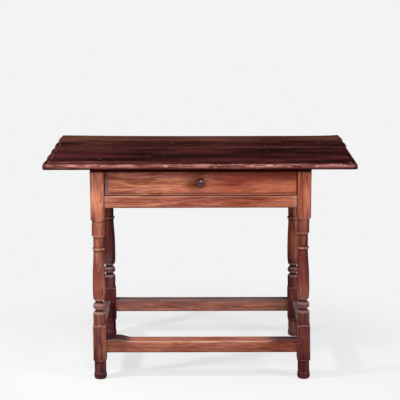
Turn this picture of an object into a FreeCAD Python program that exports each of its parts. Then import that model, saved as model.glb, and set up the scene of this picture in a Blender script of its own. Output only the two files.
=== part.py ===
import FreeCAD, Part
import math
import os

from FreeCAD import Vector

# Joined side table with one drawer, in millimetres.
# The origin is on the floor under the middle of the top: X along the length, -Y to the front, Z up.

# Overall size
table_height = 720.0
top_length = 987.0
top_depth = 608.0
top_thickness = 21.0

# Moulded edge of the top: a sunk bed round the field, which ends in a rounded nose
edge_width = 27.0
edge_sink = 2.6
nose_radius = 8.0
under_radius = 2.5
top_corner_radius = 10.0

# Lobes cut along the ends of the top; the right end is straight from the front to the notch past a length
lobe_pitch = 122.0
lobe_depth = 5.5
notch_radius = 14.0
first_notch_from_front = 104.0
straight_length = 340.0

# Joint between the two boards of the top
front_board_width = 304.0
board_gap = 0.8
dowel_diameter = 9.0
dowel_length = 56.0
dowel_spacing = 290.0

# Pegs that hold the top down
top_peg_diameter = 9.0
top_peg_depth = 28.0
top_peg_inset = 8.0
side_peg_spacing = 200.0

# Legs
leg_square = 44.0
end_overhang = 145.0
side_overhang = 49.5
upper_block_below_rail = 25.5
lower_block_above_stretcher = 33.0
lower_block_below_stretcher = 15.5
shoulder_height = 19.0
shoulder_round = 13.0
shoulder_lip_radius = 21.2

# Turned part of the leg, from the upper block down
quirk_height = 4.0
quirk_radius = 19.3
drum_height = 44.0
drum_top_radius = 20.0
drum_radius = 20.2
drum_round = 9.0
neck_height = 40.7
neck_radius = 15.5
ring_height = 8.5
ring_radius = 19.3
waist_below_ring = 15.3
waist_radius = 15.3
baluster_middle_radius = 18.6
belly_share = 0.19
belly_radius = 19.9
baluster_round = 12.0
baluster_base_radius = 19.0

# Turned part of the leg, from the lower block up
cup_height = 42.0
cup_radius = 20.3
cup_round = 9.0
notch_height = 5.0
leg_notch_radius = 12.0
bead_height = 23.0
bead_radius = 20.1

# Turned foot, from the floor up
foot_base_radius = 16.0
bun_height = 24.0
bun_radius = 20.8
foot_notch_radius = 17.4
collar_height = 26.0
collar_radius = 20.1
ankle_height = 7.0
ankle_radius = 18.0

# Rails
rail_height = 128.5
rail_thickness = 24.0
rail_setback = 1.0
drawer_rail_height = 38.5
drawer_rail_depth = 40.0

# Stretchers; the front one is hollowed along its upper front corner
stretcher_height = 42.5
long_stretcher_thickness = 38.0
side_stretcher_thickness = 25.0
stretcher_setback = 3.0
wear_from_leg = 54.5
wear_depth = 6.0
wear_reach = 60.0

# Mortise and tenon joints, each held by pegs
tenon_thickness = 10.0
rail_tenon_gap = 3.0
rail_tenon_shoulder = 12.0
drawer_rail_tenon_shoulder = 4.0
stretcher_mortise_wall = 13.0
stretcher_tenon_shoulder = 5.0
stretcher_tenon_gap = 2.0
mortise_spare = 1.0
peg_diameter = 8.0
peg_from_shoulder = 11.0
peg_proud = 0.5
peg_past_tenon = 3.0
lower_peg_above_rail = 28.0
upper_peg_below_top = 44.0

# Drawer in its opening
drawer_gap_below = 2.3
drawer_gap_above = 2.5
drawer_side_gap = 1.5
running_gap = 0.3
gap_behind_drawer = 13.0
drawer_front_thickness = 20.0
drawer_lap = 6.0
drawer_side_thickness = 12.0
drawer_side_drop = 6.5
drawer_back_thickness = 12.0
drawer_back_drop = 6.0
drawer_back_inset = 8.0
drawer_back_housing = 4.0
bottom_thickness = 8.0
bottom_above_edge = 8.0
bottom_groove = 5.0
bottom_board_gap = 0.6
tail_count = 3
tail_end_width = 18.0
tail_root_width = 14.0
scratch_height = 5.0
scratch_width = 2.0
scratch_depth = 1.5

# Knob, from the drawer front outwards, and its shank
knob_radius = 15.0
knob_stem_radius = 7.0
knob_foot_radius = 9.0
knob_foot_length = 3.0
knob_stem_length = 8.0
knob_head_start = 15.0
knob_length = 24.0
knob_tip_radius = 2.0
shank_radius = 6.0
shank_beyond = 13.0
wedge_square = 4.0
wedge_length = 24.0

# Runners that carry the drawer, guides beside it and stops in front
runner_height = 24.0
runner_margin = 4.5
runner_stub_length = 8.0
runner_stub_height = 12.0
runner_clearance = 0.2
guide_height = 30.0
stop_length = 40.0
stop_depth = 16.0
stop_clearance = 3.3
stop_from_leg = 124.5

# Nails
nail_diameter = 3.2
nail_head_diameter = 7.0
nail_head_height = 1.2
nail_from_leg = 60.5
nail_grip = 15.0
brad_diameter = 2.4
brad_head_diameter = 4.5
brad_length = 20.0
brad_spacing = 20.0
back_nail_length = 32.0
back_nail_from_edge = 14.0
bottom_nail_length = 30.0
bottom_nail_from_side = 91.0

# Places that several pieces share
top_underside = table_height - top_thickness
bed_top = table_height - edge_sink
top_front = -top_depth / 2
joint_line = top_front + front_board_width
outer_x = top_length / 2 - end_overhang
outer_y = top_depth / 2 - side_overhang
leg_x = outer_x - leg_square / 2
leg_y = outer_y - leg_square / 2
inner_x = outer_x - leg_square
inner_y = outer_y - leg_square
rail_bottom = top_underside - rail_height
drawer_rail_top = rail_bottom + drawer_rail_height
lower_block_start = bun_height + collar_height + ankle_height + shoulder_height
stretcher_bottom = lower_block_start + lower_block_below_stretcher
stretcher_top = stretcher_bottom + stretcher_height
tenon_setback = rail_setback + (rail_thickness - tenon_thickness) / 2
rail_tenon_length = leg_square - tenon_setback - tenon_thickness - rail_tenon_gap
rail_peg_length = peg_proud + tenon_setback + tenon_thickness + peg_past_tenon
stretcher_tenon_length = leg_square - stretcher_mortise_wall - mortise_spare
side_rail_inner_x = outer_x - rail_setback - rail_thickness
rear_rail_inner_y = outer_y - rail_setback - rail_thickness
face_y = -outer_y + rail_setback
drawer_rail_back_y = face_y + drawer_rail_depth
drawer_half_width = inner_x - drawer_side_gap
drawer_underside = drawer_rail_top + drawer_gap_below
drawer_front_top = top_underside - drawer_gap_above
drawer_front_back_y = face_y + drawer_front_thickness
drawer_end_y = rear_rail_inner_y - gap_behind_drawer
drawer_inner_x = drawer_half_width - drawer_side_thickness
runner_inner_x = drawer_inner_x - runner_margin
drawer_side_top = drawer_front_top - drawer_side_drop
drawer_bottom_z = drawer_underside + bottom_above_edge
runner_top = drawer_underside - running_gap
knob_z = (drawer_underside + drawer_front_top) / 2
uncut_radius = 0.75 * leg_square
diagonal = math.sqrt(0.5)
left, right = -1, 1
front, rear = -1, 1


def block(x0, x1, y0, y1, z0, z1):
    """Box between two opposite corners, given in any order."""
    low = Vector(min(x0, x1), min(y0, y1), min(z0, z1))
    return Part.makeBox(abs(x1 - x0), abs(y1 - y0), abs(z1 - z0), low)


def rod(start, direction, length, diameter):
    return Part.makeCylinder(diameter / 2, length, start, direction)


def segment(a, b):
    return Part.LineSegment(a, b).toShape()


def arc(a, middle, b):
    return Part.Arc(a, middle, b).toShape()


def lathe(edges):
    """Solid turned about Z from an outline in the XZ plane that runs from bottom to top."""
    bottom = edges[0].Vertexes[0].Point
    top = edges[-1].Vertexes[-1].Point
    foot = Vector(0, 0, bottom.z)
    head = Vector(0, 0, top.z)
    wire = Part.Wire([segment(foot, bottom)] + edges + [segment(top, head), segment(head, foot)])
    return Part.Face(wire).revolve(Vector(0, 0, 0), Vector(0, 0, 1), 360)


def group(solids):
    return Part.makeCompound(solids)


def one_solid(shape):
    return shape.removeSplitter().Solids[0]


def nail(surface_point, direction, length, diameter, head_diameter):
    """Nail driven in along direction, with its head flush with the surface."""
    head = rod(surface_point, direction, nail_head_height, head_diameter)
    shank = rod(surface_point, direction, length, diameter)
    return head.fuse(shank).Solids[0]


def turned(radius, height):
    return Vector(radius, 0, height)


def shoulder(block_end, turned_radius, toward):
    """Edges from a square block to a turned part, which is below it (toward -1) or above it (toward 1)."""
    bulge = (uncut_radius - shoulder_lip_radius) * diagonal
    start = turned(uncut_radius, block_end)
    middle = turned(shoulder_lip_radius + bulge, block_end + toward * shoulder_round * diagonal)
    lip = turned(shoulder_lip_radius, block_end + toward * shoulder_round)
    end = turned(turned_radius, block_end + toward * shoulder_height)
    return [arc(start, middle, lip), segment(lip, end)]


def bead(low, high, radius):
    """Round moulding between two points of the outline."""
    middle = turned(radius, (low.z + high.z) / 2)
    return arc(low, middle, high)


def corner_round(low, high, low_is_wide):
    """Quarter round between a wide and a narrow turned part."""
    wide, narrow = (low, high) if low_is_wide else (high, low)
    middle = turned(narrow.x + (wide.x - narrow.x) * diagonal, wide.z + (narrow.z - wide.z) * diagonal)
    return arc(low, middle, high)


def leg_outline():
    """Outline of a leg from the floor to the underside of the top."""
    lower_block_end = stretcher_top + lower_block_above_stretcher
    upper_block_start = rail_bottom - upper_block_below_rail

    # Foot: bun, collar and ankle
    sole = turned(foot_base_radius, 0)
    bun_top = turned(foot_notch_radius, bun_height)
    collar_top = turned(ankle_radius, bun_height + collar_height)
    ankle = turned(ankle_radius, collar_top.z + ankle_height)
    edges = [bead(sole, bun_top, bun_radius), bead(bun_top, collar_top, collar_radius)]
    edges += [segment(collar_top, ankle)]
    edges += reversed(shoulder(lower_block_start, ankle_radius, -1))
    edges += [segment(turned(uncut_radius, lower_block_start), turned(uncut_radius, lower_block_end))]

    # Cup, notches and bead over the lower block
    cup_base = lower_block_end + shoulder_height
    cup_top = cup_base + cup_height
    bead_base = cup_top + notch_height
    bead_top = bead_base + bead_height
    baluster_base = bead_top + notch_height
    edges += shoulder(lower_block_end, cup_radius, 1)
    cup_edge = turned(cup_radius, cup_top - cup_round)
    low_notch = turned(leg_notch_radius, cup_top)
    bead_low = turned(leg_notch_radius, bead_base)
    bead_high = turned(leg_notch_radius, bead_top)
    high_notch = turned(leg_notch_radius, baluster_base)
    edges += [segment(turned(cup_radius, cup_base), cup_edge), corner_round(cup_edge, low_notch, True)]
    edges += [segment(low_notch, bead_low), bead(bead_low, bead_high, bead_radius)]
    edges += [segment(bead_high, high_notch)]

    # Baluster up to the ring, then neck, drum and the upper block
    drum_top = upper_block_start - shoulder_height - quirk_height
    drum_base = drum_top - drum_height
    ring_top = drum_base - neck_height
    ring_base = ring_top - ring_height
    swell = turned(baluster_base_radius, baluster_base + baluster_round)
    waist_height = ring_base - waist_below_ring
    belly_height = swell.z + belly_share * (waist_height - swell.z)
    curve = Part.BSplineCurve()
    curve.interpolate([
        swell,
        turned(belly_radius, belly_height),
        turned(baluster_middle_radius, (belly_height + waist_height) / 2),
        turned(waist_radius, waist_height),
        turned(neck_radius, ring_base),
    ])
    edges += [corner_round(high_notch, swell, False), curve.toShape()]
    ring_low = turned(neck_radius, ring_base)
    ring_high = turned(neck_radius, ring_top)
    drum_low = turned(neck_radius, drum_base)
    drum_wide = turned(drum_radius, drum_base + drum_round)
    drum_high = turned(drum_top_radius, drum_top)
    quirk_low = turned(quirk_radius, drum_top)
    quirk_high = turned(quirk_radius, drum_top + quirk_height)
    edges += [bead(ring_low, ring_high, ring_radius), segment(ring_high, drum_low)]
    edges += [corner_round(drum_low, drum_wide, False), segment(drum_wide, drum_high)]
    edges += [segment(drum_high, quirk_low), segment(quirk_low, quirk_high)]
    edges += reversed(shoulder(upper_block_start, quirk_radius, -1))
    edges += [segment(turned(uncut_radius, upper_block_start), turned(uncut_radius, top_underside))]
    return edges


def leg_blank():
    """Square post, turned between its blocks."""
    half = leg_square / 2
    post = block(-half, half, -half, half, 0, top_underside)
    return post.common(lathe(leg_outline())).Solids[0]


def lobed_slab(inset, z0, z1):
    """Slab of the top with lobed ends, its outline moved inwards all round by inset."""
    half_pitch = lobe_pitch / 2
    centre_gap = (half_pitch ** 2 + lobe_depth ** 2) / (2 * lobe_depth)
    lobe_radius = centre_gap - notch_radius
    lobe_x = top_length / 2 - lobe_radius
    notch_x = top_length / 2 + notch_radius - lobe_depth
    notch_floor_x = top_length / 2 - lobe_depth - inset
    small = notch_radius + inset
    large = lobe_radius - inset
    tangent_y = half_pitch * large / centre_gap
    tangent_x = lobe_x + (centre_gap - lobe_depth) * large / centre_gap
    before_front = -math.ceil(first_notch_from_front / lobe_pitch)
    past_straight = math.ceil((straight_length - first_notch_from_front) / lobe_pitch)
    past_back = math.ceil((top_depth - first_notch_from_front) / lobe_pitch)

    def end_edges(side, first):
        """Edges of one end from front to back, starting at the floor of a notch."""
        edges = []
        for notch in range(first, past_back):
            y = top_front + first_notch_from_front + notch * lobe_pitch
            floor = Vector(side * notch_floor_x, y, z0)
            leave = Vector(side * tangent_x, y + half_pitch - tangent_y, z0)
            crest = Vector(side * (lobe_x + large), y + half_pitch, z0)
            meet = Vector(side * tangent_x, y + half_pitch + tangent_y, z0)
            next_floor = Vector(side * notch_floor_x, y + lobe_pitch, z0)
            turn = math.atan2(leave.y - y, notch_x - tangent_x) / 2
            rise = small * math.sin(turn)
            bend_x = notch_x - small * math.cos(turn)
            edges.append(arc(floor, Vector(side * bend_x, y + rise, z0), leave))
            edges.append(arc(leave, crest, meet))
            edges.append(arc(meet, Vector(side * bend_x, next_floor.y - rise, z0), next_floor))
        return edges

    left_edges = end_edges(left, before_front)
    right_edges = end_edges(right, past_straight)
    left_start = left_edges[0].Vertexes[0].Point
    left_end = left_edges[-1].Vertexes[-1].Point
    right_start = right_edges[0].Vertexes[0].Point
    right_end = right_edges[-1].Vertexes[-1].Point
    right_front = Vector(right_start.x, left_start.y, z0)
    edges = [segment(left_start, right_front), segment(right_front, right_start)] + right_edges
    edges += [segment(right_end, left_end)] + left_edges
    slab = Part.Face(Part.Wire(Part.__sortEdges__(edges))).extrude(Vector(0, 0, z1 - z0))
    window = block(-top_length, top_length, top_front + inset, -top_front - inset, z0, z1)
    return slab.common(window).Solids[0]


def top_blank():
    """The whole top before it is divided into boards."""
    slab = lobed_slab(0, top_underside, bed_top)
    at_ends = [e for e in slab.Edges if all(abs(abs(v.Y) - top_depth / 2) < 0.001 for v in e.Vertexes)]
    corners = [e for e in at_ends if abs(e.Vertexes[0].Z - e.Vertexes[-1].Z) > 0.001]
    slab = slab.makeFillet(top_corner_radius, corners)
    upper = [e for e in slab.Edges if all(abs(v.Z - bed_top) < 0.001 for v in e.Vertexes)]
    slab = slab.makeFillet(nose_radius, upper)
    lower = [e for e in slab.Edges if all(abs(v.Z - top_underside) < 0.001 for v in e.Vertexes)]
    slab = slab.makeFillet(under_radius, lower)
    field = lobed_slab(edge_width, bed_top, table_height)
    return one_solid(slab.fuse(field))


def boards_of_top(pegs, dowels):
    """The front and the back board, bored for their pegs and dowels."""
    blank = top_blank().cut(pegs + dowels)
    reach = top_length
    near = block(-reach, reach, top_front, joint_line - board_gap / 2, 0, table_height)
    far = block(-reach, reach, joint_line + board_gap / 2, -top_front, 0, table_height)
    return blank.common(near).Solids[0], blank.common(far).Solids[0]


def joint_dowels():
    z = top_underside + top_thickness / 2
    start_y = joint_line - dowel_length / 2
    places = [step * dowel_spacing for step in (-1, 0, 1)]
    return [rod(Vector(x, start_y, z), Vector(0, 1, 0), dowel_length, dowel_diameter) for x in places]


def top_pegs():
    """Upright pegs through the top, into the legs and the side rails."""
    rail_x = outer_x - rail_setback - rail_thickness / 2
    places = []
    for side in (left, right):
        for end in (front, rear):
            places.append((side * (leg_x - top_peg_inset), end * (leg_y - top_peg_inset)))
            places.append((side * rail_x, end * side_peg_spacing / 2))
    start_z = top_underside - top_peg_depth
    length = top_peg_depth + top_thickness
    return [rod(Vector(x, y, start_z), Vector(0, 0, 1), length, top_peg_diameter) for x, y in places]


def bar(axis, half, across, heights, tenon_across, tenon_heights, tenon_length):
    """Rail or stretcher between two legs with a tenon at both ends, and the tool that cuts its mortises."""

    def stick(reach, sides, levels):
        if axis == "x":
            return block(-reach, reach, sides[0], sides[1], levels[0], levels[1])
        return block(sides[0], sides[1], -reach, reach, levels[0], levels[1])

    body = stick(half, across, heights)
    tenon = stick(half + tenon_length, tenon_across, tenon_heights)
    mortise = stick(half + tenon_length + mortise_spare, tenon_across, tenon_heights)
    return one_solid(body.fuse(tenon)), mortise


def joint_pegs(axis, half, face, levels, length):
    """Pegs of the joints at both ends of a bar, driven in from the legs' outer face."""
    inward = -math.copysign(1, face)
    start = face - inward * peg_proud
    pegs = []
    for end in (-1, 1):
        along = end * (half + peg_from_shoulder)
        for z in levels:
            if axis == "x":
                pegs.append(rod(Vector(along, start, z), Vector(0, inward, 0), length, peg_diameter))
            else:
                pegs.append(rod(Vector(start, along, z), Vector(inward, 0, 0), length, peg_diameter))
    return pegs


def mirrored_span(side, distance, width):
    """Two coordinates of a piece whose outer face lies at a distance from the middle on one side."""
    return side * distance, side * (distance - width)


def foot_worn(stretcher):
    """Hollow along the upper front corner, deepest in the middle, where feet have rested."""
    half_length = inner_x - wear_from_leg
    bow_radius = (half_length ** 2 + wear_depth ** 2) / (2 * wear_depth)
    corner = Vector(0, -outer_y + stretcher_setback, stretcher_top)
    outward = Vector(0, -diagonal, diagonal)
    across = Vector(0, diagonal, diagonal)
    middle = corner + outward * (bow_radius - wear_depth)
    cutter = Part.makeCylinder(bow_radius, wear_reach, middle - across * (wear_reach / 2), across)
    return stretcher.cut(cutter).Solids[0]


def runner(side):
    """Strip that carries one side of the drawer, notched round the legs, with stubs into two rails."""
    low = runner_top - runner_height
    bearing_x = side * runner_inner_x
    stub_low = runner_top - (runner_height + runner_stub_height) / 2
    stub_high = stub_low + runner_stub_height
    between_legs = inner_y - runner_clearance
    outer = block(side * side_rail_inner_x, side * inner_x, -between_legs, between_legs, low, runner_top)
    bearing = block(side * inner_x, bearing_x, drawer_rail_back_y, rear_rail_inner_y, low, runner_top)
    stub_start = drawer_rail_back_y - runner_stub_length
    stub_end = rear_rail_inner_y + runner_stub_length
    stub = block(side * inner_x, bearing_x, stub_start, stub_end, stub_low, stub_high)
    return one_solid(outer.fuse([bearing, stub]))


def guide(side):
    """Strip on a runner that keeps the drawer straight."""
    between_legs = inner_y - runner_clearance
    sides = (side * side_rail_inner_x, side * inner_x)
    return block(*sides, -between_legs, between_legs, runner_top, runner_top + guide_height)


def strip_nails(side, from_x, z):
    """Nails through a strip into the side rail."""
    length = side_rail_inner_x - from_x + nail_grip
    nails = []
    for step in (-1, 0, 1):
        start = Vector(side * from_x, step * (inner_y - nail_from_leg), z)
        nails.append(nail(start, Vector(side, 0, 0), length, nail_diameter, nail_head_diameter))
    return nails


def drawer_stops():
    """Blocks on the drawer rail that the drawer front closes against, and their brads."""
    stops = []
    brads = []
    near_y = drawer_front_back_y + running_gap
    for side in (left, right):
        x = side * (inner_x - stop_from_leg)
        z = drawer_bottom_z - stop_clearance
        ends = (x - stop_length / 2, x + stop_length / 2)
        stops.append(block(*ends, near_y, near_y + stop_depth, drawer_rail_top, z))
        for step in (-1, 1):
            start = Vector(x + step * brad_spacing / 2, near_y + stop_depth / 2, z)
            brads.append(nail(start, Vector(0, 0, -1), brad_length, brad_diameter, brad_head_diameter))
    return stops, brads


def drawer_side(side):
    """Drawer side with tails at its front end."""
    outer = side * drawer_half_width
    inner = side * drawer_inner_x
    board = block(outer, inner, drawer_front_back_y, drawer_end_y, drawer_underside, drawer_side_top)
    pitch = (drawer_side_top - drawer_underside) / tail_count
    tip_y = face_y + drawer_lap
    tails = []
    for step in range(tail_count):
        z = drawer_underside + (step + 0.5) * pitch
        corners = [
            Vector(inner, drawer_front_back_y, z - tail_root_width / 2),
            Vector(inner, drawer_front_back_y, z + tail_root_width / 2),
            Vector(inner, tip_y, z + tail_end_width / 2),
            Vector(inner, tip_y, z - tail_end_width / 2),
        ]
        face = Part.Face(Part.makePolygon(corners + corners[:1]))
        tails.append(face.extrude(Vector(outer - inner, 0, 0)))
    return one_solid(board.fuse(tails))


def drawer_back():
    half = drawer_inner_x + drawer_back_housing
    y = drawer_end_y - drawer_back_inset
    low = drawer_bottom_z + bottom_thickness
    return block(-half, half, y - drawer_back_thickness, y, low, drawer_side_top - drawer_back_drop)


def drawer_bottoms():
    """Two boards, let into the front and the sides and nailed up under the back."""
    half = drawer_inner_x + bottom_groove
    near = drawer_front_back_y - bottom_groove
    far = drawer_end_y - drawer_back_inset
    middle = (near + far) / 2
    levels = (drawer_bottom_z, drawer_bottom_z + bottom_thickness)
    front_board = block(-half, half, near, middle - bottom_board_gap / 2, *levels)
    back_board = block(-half, half, middle + bottom_board_gap / 2, far, *levels)
    return front_board, back_board


def back_nails():
    """Nails through the drawer sides into the back."""
    y = drawer_end_y - drawer_back_inset - drawer_back_thickness / 2
    low = drawer_bottom_z + bottom_thickness + back_nail_from_edge
    high = drawer_side_top - drawer_back_drop - back_nail_from_edge
    nails = []
    for side in (left, right):
        for z in (low, high):
            start = Vector(side * drawer_half_width, y, z)
            inward = Vector(-side, 0, 0)
            nails.append(nail(start, inward, back_nail_length, brad_diameter, brad_head_diameter))
    return nails


def bottom_nails():
    """Nails up through the bottom into the back."""
    y = drawer_end_y - drawer_back_inset - drawer_back_thickness / 2
    nails = []
    for step in (-1, 0, 1):
        start = Vector(step * (drawer_inner_x - bottom_nail_from_side), y, drawer_bottom_z)
        nails.append(nail(start, Vector(0, 0, 1), bottom_nail_length, brad_diameter, brad_head_diameter))
    return nails


def knob():
    """Turned knob with its shank, on the drawer front."""
    back_end = turned(shank_radius, -drawer_front_thickness - shank_beyond)
    seat = turned(shank_radius, 0)
    foot = turned(knob_foot_radius, 0)
    foot_top = turned(knob_foot_radius, knob_foot_length)
    stem_low = turned(knob_stem_radius, knob_foot_length)
    stem_high = turned(knob_stem_radius, knob_stem_length)
    widest = turned(knob_radius, knob_head_start)
    tip = turned(knob_tip_radius, knob_length)
    edges = [segment(back_end, seat), segment(seat, foot), segment(foot, foot_top)]
    edges += [segment(foot_top, stem_low), segment(stem_low, stem_high)]
    edges += [corner_round(stem_high, widest, False), corner_round(widest, tip, True)]
    solid = lathe(edges)
    solid.rotate(Vector(0, 0, 0), Vector(1, 0, 0), 90)
    solid.translate(Vector(0, face_y, knob_z))
    return solid


def knob_wedge():
    """Pin through the shank, behind the drawer front."""
    half = wedge_square / 2
    levels = (knob_z - wedge_length / 2, knob_z + wedge_length / 2)
    return block(-half, half, drawer_front_back_y, drawer_front_back_y + wedge_square, *levels)


def drawer_front():
    """Front board with a line scratched along its lower edge."""
    half = drawer_half_width
    board = block(-half, half, face_y, drawer_front_back_y, drawer_underside, drawer_front_top)
    z = drawer_underside + scratch_height
    corners = [
        Vector(-half, face_y - scratch_depth, z - scratch_width),
        Vector(-half, face_y + scratch_depth, z),
        Vector(-half, face_y - scratch_depth, z + scratch_width),
    ]
    groove = Part.Face(Part.makePolygon(corners + corners[:1])).extrude(Vector(2 * half, 0, 0))
    return board.cut(groove).Solids[0]


def trimmed(shape, tools):
    return shape.cut(tools).Solids[0]


def build_frame():
    """Top, legs, rails, stretchers and what carries the drawer."""
    nodes = {}
    pegs_in_top = top_pegs()
    dowels = joint_dowels()
    nodes["top_board_front"], nodes["top_board_back"] = boards_of_top(pegs_in_top, dowels)
    nodes["top_joint_dowels"] = group(dowels)
    nodes["top_pegs"] = group(pegs_in_top)

    # Rails, set just inside the legs' outer faces
    rail_levels = (rail_bottom, top_underside)
    rail_tenon_levels = (rail_bottom + rail_tenon_shoulder, top_underside - rail_tenon_shoulder)
    rail_peg_levels = (rail_bottom + lower_peg_above_rail, top_underside - upper_peg_below_top)
    bars = {}
    rail_pegs = []
    mortises = []
    for side, name in ((left, "side_rail_left"), (right, "side_rail_right")):
        across = mirrored_span(side, outer_x - rail_setback, rail_thickness)
        tenon_across = mirrored_span(side, outer_x - tenon_setback, tenon_thickness)
        bars[name], mortise = bar(
            "y", inner_y, across, rail_levels, tenon_across, rail_tenon_levels, rail_tenon_length)
        mortises.append(mortise)
        rail_pegs += joint_pegs("y", inner_y, side * outer_x, rail_peg_levels, rail_peg_length)
    across = mirrored_span(rear, outer_y - rail_setback, rail_thickness)
    tenon_across = mirrored_span(rear, outer_y - tenon_setback, tenon_thickness)
    bars["rear_rail"], mortise = bar(
        "x", inner_x, across, rail_levels, tenon_across, rail_tenon_levels, rail_tenon_length)
    mortises.append(mortise)
    rail_pegs += joint_pegs("x", inner_x, outer_y, rail_peg_levels, rail_peg_length)
    across = mirrored_span(front, outer_y - rail_setback, drawer_rail_depth)
    tenon_across = mirrored_span(front, outer_y - tenon_setback, tenon_thickness)
    levels = (rail_bottom, drawer_rail_top)
    tenon_levels = (rail_bottom + drawer_rail_tenon_shoulder, drawer_rail_top - drawer_rail_tenon_shoulder)
    bars["drawer_rail"], mortise = bar(
        "x", inner_x, across, levels, tenon_across, tenon_levels, rail_tenon_length)
    mortises.append(mortise)
    middle_level = [(rail_bottom + drawer_rail_top) / 2]
    rail_pegs += joint_pegs("x", inner_x, -outer_y, middle_level, rail_peg_length)

    # Stretchers, set near the legs' outer faces; their tenons pass over and under each other
    stretcher_levels = (stretcher_bottom, stretcher_top)
    half_gap = stretcher_tenon_gap / 2
    stretcher_middle = (stretcher_bottom + stretcher_top) / 2
    upper_levels = (stretcher_middle + half_gap, stretcher_top - stretcher_tenon_shoulder)
    lower_levels = (stretcher_bottom + stretcher_tenon_shoulder, stretcher_middle - half_gap)
    stretcher_pegs = []
    runs = (
        ("stretcher_front", "x", front, inner_x, outer_y, long_stretcher_thickness, upper_levels),
        ("stretcher_rear", "x", rear, inner_x, outer_y, long_stretcher_thickness, upper_levels),
        ("stretcher_left", "y", left, inner_y, outer_x, side_stretcher_thickness, lower_levels),
        ("stretcher_right", "y", right, inner_y, outer_x, side_stretcher_thickness, lower_levels),
    )
    for name, axis, side, half, face, thickness, tenon_levels in runs:
        across = mirrored_span(side, face - stretcher_setback, thickness)
        tenon_depth = stretcher_setback + (thickness - tenon_thickness) / 2
        tenon_across = mirrored_span(side, face - tenon_depth, tenon_thickness)
        bars[name], mortise = bar(
            axis, half, across, stretcher_levels, tenon_across, tenon_levels, stretcher_tenon_length)
        mortises.append(mortise)
        peg_level = [sum(tenon_levels) / 2]
        peg_length = peg_proud + tenon_depth + tenon_thickness + peg_past_tenon
        stretcher_pegs += joint_pegs(axis, half, side * face, peg_level, peg_length)
    bars["stretcher_front"] = foot_worn(bars["stretcher_front"])

    # Runners, guides and stops
    runners = {"drawer_runner_left": runner(left), "drawer_runner_right": runner(right)}
    guides = {"drawer_guide_left": guide(left), "drawer_guide_right": guide(right)}
    runner_nails = []
    guide_nails = []
    for side in (left, right):
        runner_nails += strip_nails(side, runner_inner_x, runner_top - runner_height / 2)
        guide_nails += strip_nails(side, inner_x, runner_top + guide_height / 2)
    stops, brads = drawer_stops()
    for name, shape in runners.items():
        nodes[name] = trimmed(shape, runner_nails)
    for name, shape in guides.items():
        nodes[name] = trimmed(shape, guide_nails)
    nodes["drawer_stops"] = group([trimmed(stop, brads) for stop in stops])

    # Legs, mortised and bored
    blank = leg_blank()
    leg_cutters = mortises + rail_pegs + stretcher_pegs + pegs_in_top
    for end, end_name in ((front, "front"), (rear, "rear")):
        for side, side_name in ((left, "left"), (right, "right")):
            post = blank.copy()
            post.translate(Vector(side * leg_x, end * leg_y, 0))
            nodes["leg_" + end_name + "_" + side_name] = trimmed(post, leg_cutters)

    bar_cutters = rail_pegs + stretcher_pegs + pegs_in_top + runner_nails + guide_nails + brads
    bar_cutters += list(runners.values())
    for name, shape in bars.items():
        nodes[name] = trimmed(shape, bar_cutters)
    nodes["rail_pegs"] = group(rail_pegs)
    nodes["stretcher_pegs"] = group(stretcher_pegs)
    nodes["runner_nails"] = group(runner_nails)
    nodes["guide_nails"] = group(guide_nails)
    nodes["stop_nails"] = group(brads)
    return nodes


def build_drawer():
    """The drawer with its knob."""
    nodes = {}
    bottoms = drawer_bottoms()
    back = drawer_back()
    nails_in_back = back_nails()
    nails_in_bottom = bottom_nails()
    wedge = knob_wedge()
    turned_knob = trimmed(knob(), [wedge])
    sides = [drawer_side(left), drawer_side(right)]
    side_cutters = [*bottoms, back, *nails_in_back]
    nodes["drawer_front"] = trimmed(drawer_front(), [*sides, *bottoms, turned_knob])
    nodes["drawer_side_left"] = trimmed(sides[0], side_cutters)
    nodes["drawer_side_right"] = trimmed(sides[1], side_cutters)
    nodes["drawer_back"] = trimmed(back, nails_in_back + nails_in_bottom)
    nodes["drawer_bottom_front"] = bottoms[0]
    nodes["drawer_bottom_back"] = trimmed(bottoms[1], nails_in_bottom)
    nodes["drawer_back_nails"] = group(nails_in_back)
    nodes["drawer_bottom_nails"] = group(nails_in_bottom)
    nodes["drawer_knob"] = turned_knob
    nodes["knob_wedge"] = wedge
    return nodes


def main():
    os.makedirs("parts", exist_ok=True)
    for nodes in (build_frame(), build_drawer()):
        for name, shape in nodes.items():
            shape.exportStep(os.path.join("parts", name + ".step"))


main()
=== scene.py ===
import math
import random
from collections import namedtuple

import bmesh
import bpy
from bpy.props import FloatProperty, FloatVectorProperty, PointerProperty
from mathutils import Matrix, Vector, noise


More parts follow.
